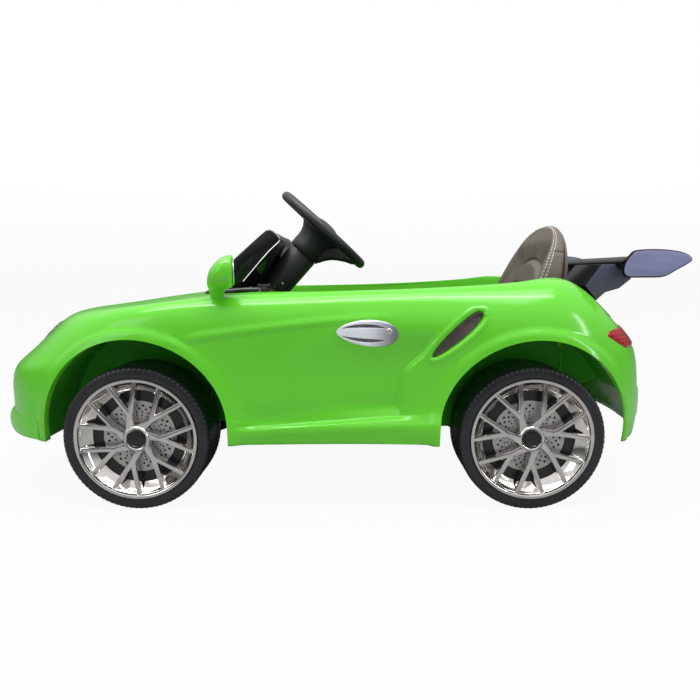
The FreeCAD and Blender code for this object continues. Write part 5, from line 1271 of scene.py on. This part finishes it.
FAIRING_OUTLINE = [
    (.020, -.0560), (.0335, -.0540), (.0390, -.0440), (.0470, -.0340), (.0560, -.0265), (.0700, -.0180),
    (.0838, -.0120), (.0900, -.0060), (.0900, .0005), (.0200, .0005)]
FAIRING_HALF, FAIRING_ROUND = .0165, .006
fairing = slab(FAIRING_OUTLINE, -FAIRING_HALF, 2 * FAIRING_HALF, FAIRING_ROUND)
bmesh.ops.rotate(fairing, verts=fairing.verts, matrix=Matrix.Rotation(-math.pi / 2, 3, "X"))
wheel_mesh = to_mesh(join(wheel, fairing), "steering_wheel_rim", black_abs)
wheel_mesh.transform(column_frame)
fit(wheel_mesh, "steering", "black_matte", "steering_wheel")
HORN_SECTION = [
    (0, .0153), (.0080, .0151), (.0150, .0143), (.0160, .0136), (.0168, .0138), (.0215, .0122),
    (.0255, .0100), (.0280, .0076), (.0288, .0060), (.0282, .0055), (.0060, .0055), (.0060, -.0058),
    (0, -.0058)]
horn_mesh = to_mesh(lathed(HORN_SECTION, 72, closed=False), "horn_press_pad", black_abs)
horn_mesh.transform(column_frame)
fit(horn_mesh, "horn", "black_matte", "horn_pad")

# Accelerator pedal
# A ribbed black plate, moulded in one with its hinge barrel. It turns at the heel on a pin in a small floor
# bracket.
PEDAL_HINGE, PEDAL_SLOPE = Vector((-.096, 0, .116)), math.radians(22)
PEDAL_INNER, PEDAL_OUTER, PEDAL_TIP, PEDAL_HEEL, PEDAL_HALF = .0362, .0918, -.0755, -.002, .0030
PEDAL_ROUND, RIB_ROUND, RIB_INNER, RIB_OUTER, RIB_BASE, RIB_TOP = .0020, .0010, .0410, .0870, .0020, .0046
PEDAL_RIBS, RIB_FIRST, RIB_STEP, RIB_LONG = 7, -.070, .0095, .0042
pedal = rounded_block((PEDAL_TIP, PEDAL_INNER, -PEDAL_HALF), (PEDAL_HEEL, PEDAL_OUTER, PEDAL_HALF),
                      PEDAL_ROUND)
for index in range(PEDAL_RIBS):
    start = RIB_FIRST + RIB_STEP * index
    join(pedal, rounded_block((start, RIB_INNER, RIB_BASE), (start + RIB_LONG, RIB_OUTER, RIB_TOP),
                              RIB_ROUND, 2))
BARREL_CHAMFER = .0006
BARREL_SECTION = [
    (.0031, PEDAL_INNER), (.0044, PEDAL_INNER), (.0050, PEDAL_INNER + BARREL_CHAMFER),
    (.0050, PEDAL_OUTER - BARREL_CHAMFER), (.0044, PEDAL_OUTER), (.0031, PEDAL_OUTER)]
pedal_mesh = to_mesh(join(pedal, lathed(BARREL_SECTION, 32)), "pedal_plate", black_abs)
pedal_mesh.transform(Matrix.Translation(PEDAL_HINGE) @ Matrix.Rotation(PEDAL_SLOPE, 4, "Y"))
fit(pedal_mesh, "pedal", "black_matte", "accelerator_pedal")
paint(black_abs, "pedal_base")

# Seat
# A moulded box and back carry a stuffed cushion and backrest of taupe leatherette. Both are sewn from panels
# with off-white double stitching, and the backrest has side bolsters and an arched lumbar pad.
paint(black_abs, "seat_base")
leatherette, tree, shader, place = new_finish("taupe_leatherette")
pores = add_node(tree, "ShaderNodeTexVoronoi", {"Vector": place, "Scale": per_metre(1.6)})
crease = noise(tree, place, 28, 6)
tinted(tree, shader, crease, "#524B43", "#70685E")
dulled(tree, shader, crease, .38, .58)
embossed(tree, shader, pores.outputs["Distance"], .35, .0006)

paint(leatherette, "seat_back_shell")
VOXEL, SIM_FRAMES, PRESSURE, STIFFNESS, BENDING, SHRINK = .0045, 20, 1.6, 60, 12, .003
IRONINGS, IRON_SHARE, FINE_SMOOTHING = 2, .5, .6


def evaluated(thing):
    """The mesh of an object with its modifiers carried out."""
    return bpy.data.meshes.new_from_object(thing.evaluated_get(bpy.context.evaluated_depsgraph_get()))


def stuffed(form, held, reach):
    """A cushion swollen like cloth under pressure from its cut form, held where it rests on the seat."""
    work = link_object("stuffing", bpy.data.meshes.new("stuffing"))
    form.to_mesh(work.data)
    form.free()
    grid = work.modifiers.new("grid", "REMESH")
    grid.mode, grid.voxel_size = "VOXEL", VOXEL
    work.data = evaluated(work)
    work.modifiers.clear()
    start = [vert.co.copy() for vert in work.data.vertices]
    fixed = [index for index, spot in enumerate(start) if held(spot)]
    work.vertex_groups.new(name="held").add(fixed, 1, "REPLACE")
    cloth = work.modifiers.new("cover", "CLOTH").settings
    cloth.use_pressure, cloth.uniform_pressure_force = True, PRESSURE
    cloth.tension_stiffness = cloth.compression_stiffness = cloth.shear_stiffness = STIFFNESS
    cloth.bending_stiffness = BENDING
    cloth.effector_weights.gravity = 0
    cloth.vertex_group_mass = "held"
    for number in range(1, SIM_FRAMES + 1):
        scene.frame_set(number)
    swollen = evaluated(work)
    work.modifiers.clear()
    for vert, before, after in zip(work.data.vertices, start, swollen.vertices):
        way = after.co - before
        vert.co = before + way * min(1, reach / max(way.length, reach))
    scene.frame_set(1)
    cushion = bmesh.new()
    cushion.from_mesh(work.data)
    bpy.data.objects.remove(work)
    for ironed in range(IRONINGS):
        bmesh.ops.smooth_vert(cushion, verts=cushion.verts, factor=IRON_SHARE, use_axis_x=True,
                              use_axis_y=True, use_axis_z=True)
    bmesh.ops.subdivide_edges(cushion, edges=cushion.edges, cuts=1, use_grid_fill=True,
                              smooth=FINE_SMOOTHING)
    return cushion


def near(value, place, width):
    """1 at a place, falling to 0 at a distance from it."""
    return ease(1 - abs(value - place) / width)


thread = mottled("off_white_thread", (1.2, 2), ("#C9C2B6", "#EDE8DE"), values={"Roughness": .8})
STITCH_STEP, STITCH_LONG, STITCH_THICK = .0056, .0042, .0018


def sew(name, rows):
    """Short thread stitches along rows of places on a cushion, each with the cushion's direction there."""
    seam = bmesh.new()
    for row in rows:
        walked = 0
        for (spot, normal), (ahead, _) in zip(row, row[1:]):
            walked += (ahead - spot).length
            if walked < STITCH_STEP:
                continue
            walked = 0
            along = (ahead - spot).normalized()
            aside = normal.cross(along).normalized()
            turn = Matrix((along, aside, along.cross(aside))).transposed().to_4x4()
            bmesh.ops.create_icosphere(seam, subdivisions=1, radius=.5, matrix=Matrix.Translation(spot) @ turn
                                       @ Matrix.Diagonal((STITCH_LONG, STITCH_THICK, STITCH_THICK, 1)))
    return fit(to_mesh(seam, name, thread), "chassis", "leatherette")


CUSHION_LOW, CUSHION_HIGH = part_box("seat_cushion")
CUSHION_HELD, CUSHION_REACH, CUSHION_BORDER, BORDER_DEEP, BORDER_HALF = .012, .009, .017, .0014, .004
CHANNEL_SHARES, CHANNEL_DEEP, CHANNEL_HALF, CROWN_RISE, CROWN_FADE = (-.33, .33), .0035, .011, .004, .012
FORM_WELD, TOP_FACING = .0001, .3
cushion_form = bmesh.new()
cushion_form.from_mesh(nodes["seat_cushion"].data)
bmesh.ops.remove_doubles(cushion_form, verts=cushion_form.verts, dist=FORM_WELD)
cushion_form.normal_update()
for vert in cushion_form.verts:
    vert.co -= vert.normal * SHRINK
cushion = stuffed(cushion_form, lambda spot: spot.z < CUSHION_LOW.z + CUSHION_HELD, CUSHION_REACH)
cushion_middle, cushion_half = (CUSHION_LOW + CUSHION_HIGH) / 2, (CUSHION_HIGH - CUSHION_LOW) / 2
cushion.normal_update()
for vert in cushion.verts:
    if vert.normal.z < TOP_FACING:
        continue
    edge = min(cushion_half.x - abs(vert.co.x - cushion_middle.x), cushion_half.y - abs(vert.co.y))
    inside = ease((edge - CUSHION_BORDER - BORDER_HALF) / CROWN_FADE)
    sunk = BORDER_DEEP * near(edge, CUSHION_BORDER, BORDER_HALF)
    for share in CHANNEL_SHARES:
        sunk += CHANNEL_DEEP * inside * near(vert.co.y, share * cushion_half.y, CHANNEL_HALF)
    vert.co.z += CROWN_RISE * inside - sunk
bmesh.ops.recalc_face_normals(cushion, faces=cushion.faces)
cushion_skin = BVHTree.FromBMesh(cushion)
cushion_mesh = to_mesh(cushion, "seat_cushion_cover", leatherette)
fit(cushion_mesh, "chassis", "leatherette", "seat_cushion")
CUSHION_SQUARENESS = 7


def cushion_ring(inset, count=420):
    """Places round the cushion's top at a distance from its edge, each with the cushion's direction there."""
    half_x, half_y = cushion_half.x - inset, cushion_half.y - inset
    row = []
    for index in range(count + 1):
        turn = 2 * math.pi * index / count
        x, y = math.cos(turn), math.sin(turn)
        out = abs(x / half_x) ** CUSHION_SQUARENESS + abs(y / half_y) ** CUSHION_SQUARENESS
        size = out ** (-1 / CUSHION_SQUARENESS)
        above = Vector((cushion_middle.x + x * size, y * size, 1))
        row.append(cushion_skin.ray_cast(above, Vector((0, 0, -1)))[:2])
    return row


CUSHION_ROWS = CUSHION_BORDER - .0032, CUSHION_BORDER + .0036
sew("seat_cushion_stitches", [cushion_ring(inset) for inset in CUSHION_ROWS])

OUTLINE_STEPS = 6


def rounded_outline(shares):
    """A closed smooth outline through a ring of share pairs."""
    count = len(shares)
    ring = []
    for index in range(count):
        four = [shares[(index + step) % count] for step in (-1, 0, 1, 2)]
        for part in range(OUTLINE_STEPS):
            at = part / OUTLINE_STEPS
            ring.append([(2 * b + (c - a) * at + (2 * a - 5 * b + 4 * c - d) * at ** 2
                          + (3 * b - a - 3 * c + d) * at ** 3) / 2 for a, b, c, d in zip(*four)])
    return ring


REST_PLACE, REST_LEAN, REST_DEPTH = Vector((.336, 0, .192)), math.radians(8.7), .048
REST_TOP, REST_ARCH, REST_FOOT, REST_ROUND, REST_HELD, REST_REACH = .280, .130, .030, .007, .85, .005
rest_frame = Matrix.Translation(REST_PLACE) @ Matrix.Rotation(REST_LEAN, 4, "Y")
rest_local = rest_frame.inverted()
PAD_BASE, PAD_TALL, PAD_HALF, PAD_RISE, PAD_EDGE, CREASE_DEEP = .163, .050, .078, .0065, .16, .0030
SEAM_DEPTH, SEAM_HALF, SEAM_SUNK, SIDE_SEAM = .0090, .0045, .0016, .2246
BOLSTER_INNER, BOLSTER_OUTER, BOLSTER_DEEP, BOLSTER_HEAD, BOLSTER_FADE = .070, .112, .0105, .028, .050
TAPER, TAPER_START, FRONT_START, FRONT_FADE = .30, .160, .25, .45
PAD_FOOT, CREASE_HALF, CREASE_END, PAD_ARCH, PAD_ARCH_HALF, PAD_ARCH_FOOT = .007, .006, .02, 1.02, .09, .01
SEAM_FRONT, SEAM_FADE = .75, .2
SIDE_SEAM_HALF, SIDE_SEAM_START, SIDE_FACING, SIDE_FADE = .0042, .004, .3, .3
# Half of the backrest's outline in its own plane: how far aside and how far up, from the foot to the top.
REST_OUTLINE = [(.118, .002), (.128, .012), (.131, .060), (.131, .120), (.128, .165), (.119, .208),
                (.101, .243), (.072, .266), (.036, .277)]
rest_ring = REST_OUTLINE + [(0, .280)] + [(-aside, up) for aside, up in reversed(REST_OUTLINE)]


def taper(up):
    """How far the backrest's front lies back at a height: it is thick at the loins and thin at the top."""
    return TAPER * max(up - TAPER_START, 0)


rest_form = slab(rounded_outline(rest_ring), 0, REST_DEPTH, REST_ROUND)
for vert in rest_form.verts:
    y, deep, up = vert.co
    vert.co = rest_frame @ Vector((deep + taper(up) * (1 - deep / REST_DEPTH), y, up))
bmesh.ops.recalc_face_normals(rest_form, faces=rest_form.faces)
rest = stuffed(rest_form, lambda spot: (rest_local @ spot).x > REST_DEPTH * REST_HELD, REST_REACH)
rest.normal_update()
for vert in rest.verts:
    deep, y, up = rest_local @ vert.co
    deep = (deep - taper(up)) / (1 - taper(up) / REST_DEPTH)
    facing = rest_local.to_3x3() @ vert.normal
    front = ease((-facing.x - FRONT_START) / FRONT_FADE)
    hollow = ease((BOLSTER_OUTER - abs(y)) / (BOLSTER_OUTER - BOLSTER_INNER))
    hollow *= ease((REST_TOP - BOLSTER_HEAD - up) / BOLSTER_FADE)
    arch = math.hypot(y / PAD_HALF, max(up - PAD_BASE, 0) / PAD_TALL)
    padded = ease((1 - arch) / PAD_EDGE) * ease((up - PAD_BASE) / PAD_FOOT)
    crease = near(up, PAD_BASE, CREASE_HALF) * ease((PAD_HALF - abs(y)) / CREASE_END)
    crease += near(arch, PAD_ARCH, PAD_ARCH_HALF) * ease((up - PAD_BASE) / PAD_ARCH_FOOT)
    sunk = front * (BOLSTER_DEEP * hollow - PAD_RISE * padded + CREASE_DEEP * crease)
    piped = near(deep, SEAM_DEPTH, SEAM_HALF) * (1 - ease((-facing.x - SEAM_FRONT) / SEAM_FADE))
    side = near(up, SIDE_SEAM, SIDE_SEAM_HALF) * ease((deep - SEAM_DEPTH) / SIDE_SEAM_START)
    side *= ease((abs(facing.y) - SIDE_FACING) / SIDE_FADE)
    vert.co += rest_frame.to_3x3() @ Vector((sunk, 0, 0)) - vert.normal * SEAM_SUNK * max(piped, side)
bmesh.ops.recalc_face_normals(rest, faces=rest.faces)
rest_skin = BVHTree.FromBMesh(rest)
rest_mesh = to_mesh(rest, "backrest_cover", leatherette)
fit(rest_mesh, "chassis", "leatherette", "backrest_cushion")
FOOT_SHARE, ROW_TRIES, ROW_START = .2, 3, .5


def rest_row(deep, count=420):
    """Places on the backrest's edge at one depth, from its left foot over the top to its right foot."""
    row = []
    for index in range(count + 1):
        share = 2 * index / count - 1
        turn = math.pi / 2 * (1 - share)
        out = Vector((0, math.cos(turn), math.sin(turn)))
        centre = Vector((deep, 0, REST_ARCH))
        if abs(share) > 1 - FOOT_SHARE:
            centre.z -= (abs(share) - 1 + FOOT_SHARE) / FOOT_SHARE * (REST_ARCH - REST_FOOT)
        high = centre.z + out.z * (REST_TOP - REST_ARCH)
        for attempt in range(ROW_TRIES):
            centre.x = deep + taper(high) * (1 - deep / REST_DEPTH)
            start = rest_frame @ (centre + out * ROW_START)
            spot, normal = rest_skin.ray_cast(start, rest_frame.to_3x3() @ -out)[:2]
            high = (rest_local @ spot).z if spot else high
        if spot:
            row.append((spot, normal))
    return row


REST_ROWS = SEAM_DEPTH - .0034, SEAM_DEPTH + .0040
sew("backrest_stitches", [rest_row(deep) for deep in REST_ROWS])

# Spoiler
# A black deck cover on the tail with two swept pylons, and a wing with a rounded end plate at each side. The
# wing is glossy moulded ABS; the outer sides of pylons and plates are tinted slate blue as painted
# reflection.
# Slate blue on the pylons' black plastic: painted reflection.
pylon_sky_sheen = mottled("black_abs_painted_slate_sheen", (55, 4), ("#3A3B4A", "#5B5D74"), values={"Roughness": .2})
blade_black = mottled("deep_black_abs", (40, 4), ("#0A0A0B", "#141415"), (.14, .28),
                      values={"Specular IOR Level": .08})
# Slate blue with drawn-out lighter and darker streaks on the plates' black plastic: painted reflection.
plate_sky_sheen, tree, shader, place = new_finish("black_abs_painted_slate_streaks", {"Roughness": .16})
drawn_out = add_node(tree, "ShaderNodeMapping", {"Vector": place, "Scale": (1, 1, 5)})
tinted(tree, shader, noise(tree, drawn_out.outputs[0], 60, 3), "#6A6B88", "#8E91B8")

WING_FRONT, WING_LOW, WING_TOP, WING_HALF, PLATE_WALL = .475, .3765, .4000, .205, .008
WING_LONG = HALF_LENGTH - WING_FRONT
WING_SHARES = [(.97, .62), (.60, .92), (.30, 1), (.10, .93), (0, .55), (.07, .12), (.28, 0), (.60, .14)]
PLATE_LOW, PLATE_TOP = .3655, .4105
PLATE_SHARES = [
    (0, .30), (.02, .54), (.09, .80), (.19, .97), (.53, 1), (.80, .93), (.94, .81), (1, .65), (.95, .5),
    (.78, .26), (.60, .03), (.30, 0), (.08, .01), (.01, .14)]
wing_ring = rounded_outline(WING_SHARES)


def wing_point(u, v):
    """A point of the wing: across the car and round its section."""
    along, up = wing_ring[round((v + 1) / 2 * len(wing_ring)) % len(wing_ring)]
    return Vector((WING_FRONT + along * WING_LONG, u * (WING_HALF - PLATE_WALL / 2),
                   WING_LOW + up * (WING_TOP - WING_LOW)))


blade = patch(32, len(wing_ring), wing_point)
bmesh.ops.recalc_face_normals(blade, faces=blade.faces)
fit(to_mesh(blade, "spoiler_blade", blade_black), "chassis", "black_gloss", "spoiler_wing")

PLATE_ROUND, PLATE_FLAT = .0034, .97
plate_outline = [(WING_FRONT + along * WING_LONG, PLATE_LOW + up * (PLATE_TOP - PLATE_LOW))
                 for along, up in rounded_outline(PLATE_SHARES)]
plate = slab(plate_outline, WING_HALF - PLATE_WALL, PLATE_WALL, PLATE_ROUND)
# The flat sides take the painted slate reflection; the rounded edges stay black.
for face in plate.faces:
    face.material_index = int(abs(face.normal.y) < PLATE_FLAT)
fit_pair(to_mesh(plate, "spoiler_end_plate", plate_sky_sheen, blade_black), "chassis", "black_gloss")

PYLON_PLACE, PYLON_REACH, PYLON_RISE = Vector((.427, 0, .352)), .078, .0360
PYLON_INNER, PYLON_WALL, PYLON_ROUND, PYLON_FLAT = .066, .110, .002, .8
PYLON_SHARES = [
    (0, 0), (.33, .97), (.62, 1), (.90, 1), (1, .55), (.97, .30), (.74, -.12), (.45, -.30), (.27, -.67)]
pylon_outline = [(PYLON_PLACE.x + along * PYLON_REACH, PYLON_PLACE.z + up * PYLON_RISE)
                 for along, up in PYLON_SHARES]
pylon = slab(pylon_outline, PYLON_INNER, PYLON_WALL, PYLON_ROUND, 3)
# The flat sides take the painted slate reflection; the rounded edges stay black.
for face in pylon.faces:
    face.material_index = int(abs(face.normal.y) < PYLON_FLAT)
fit_pair(to_mesh(pylon, "spoiler_pylon", pylon_sky_sheen, blade_black), "chassis", "black_gloss")
DECK_FRONT, DECK_BACK, DECK_RISE, DECK_PROUD, DECK_EDGE, DECK_WALL = .424, .478, .004, .0004, .1, .002


def deck_point(u, v):
    """A point of the deck cover, which lies on the tail's skin and has a rounded edge."""
    x = (DECK_FRONT + DECK_BACK) / 2 + v * (DECK_BACK - DECK_FRONT) / 2
    spot, normal = hit_skin((x, u * (PYLON_INNER + PYLON_WALL), 1), (0, 0, -1))
    edge = ease((1 - max(abs(u), abs(v))) / DECK_EDGE)
    return spot + normal * (DECK_PROUD + (DECK_RISE - DECK_PROUD) * edge)


deck = face_toward(patch(56, 20, deck_point), (0, 0, 1))
thicken(fit(to_mesh(deck, "spoiler_deck", gloss_black), "chassis", "black_gloss", "spoiler_base"), DECK_WALL)
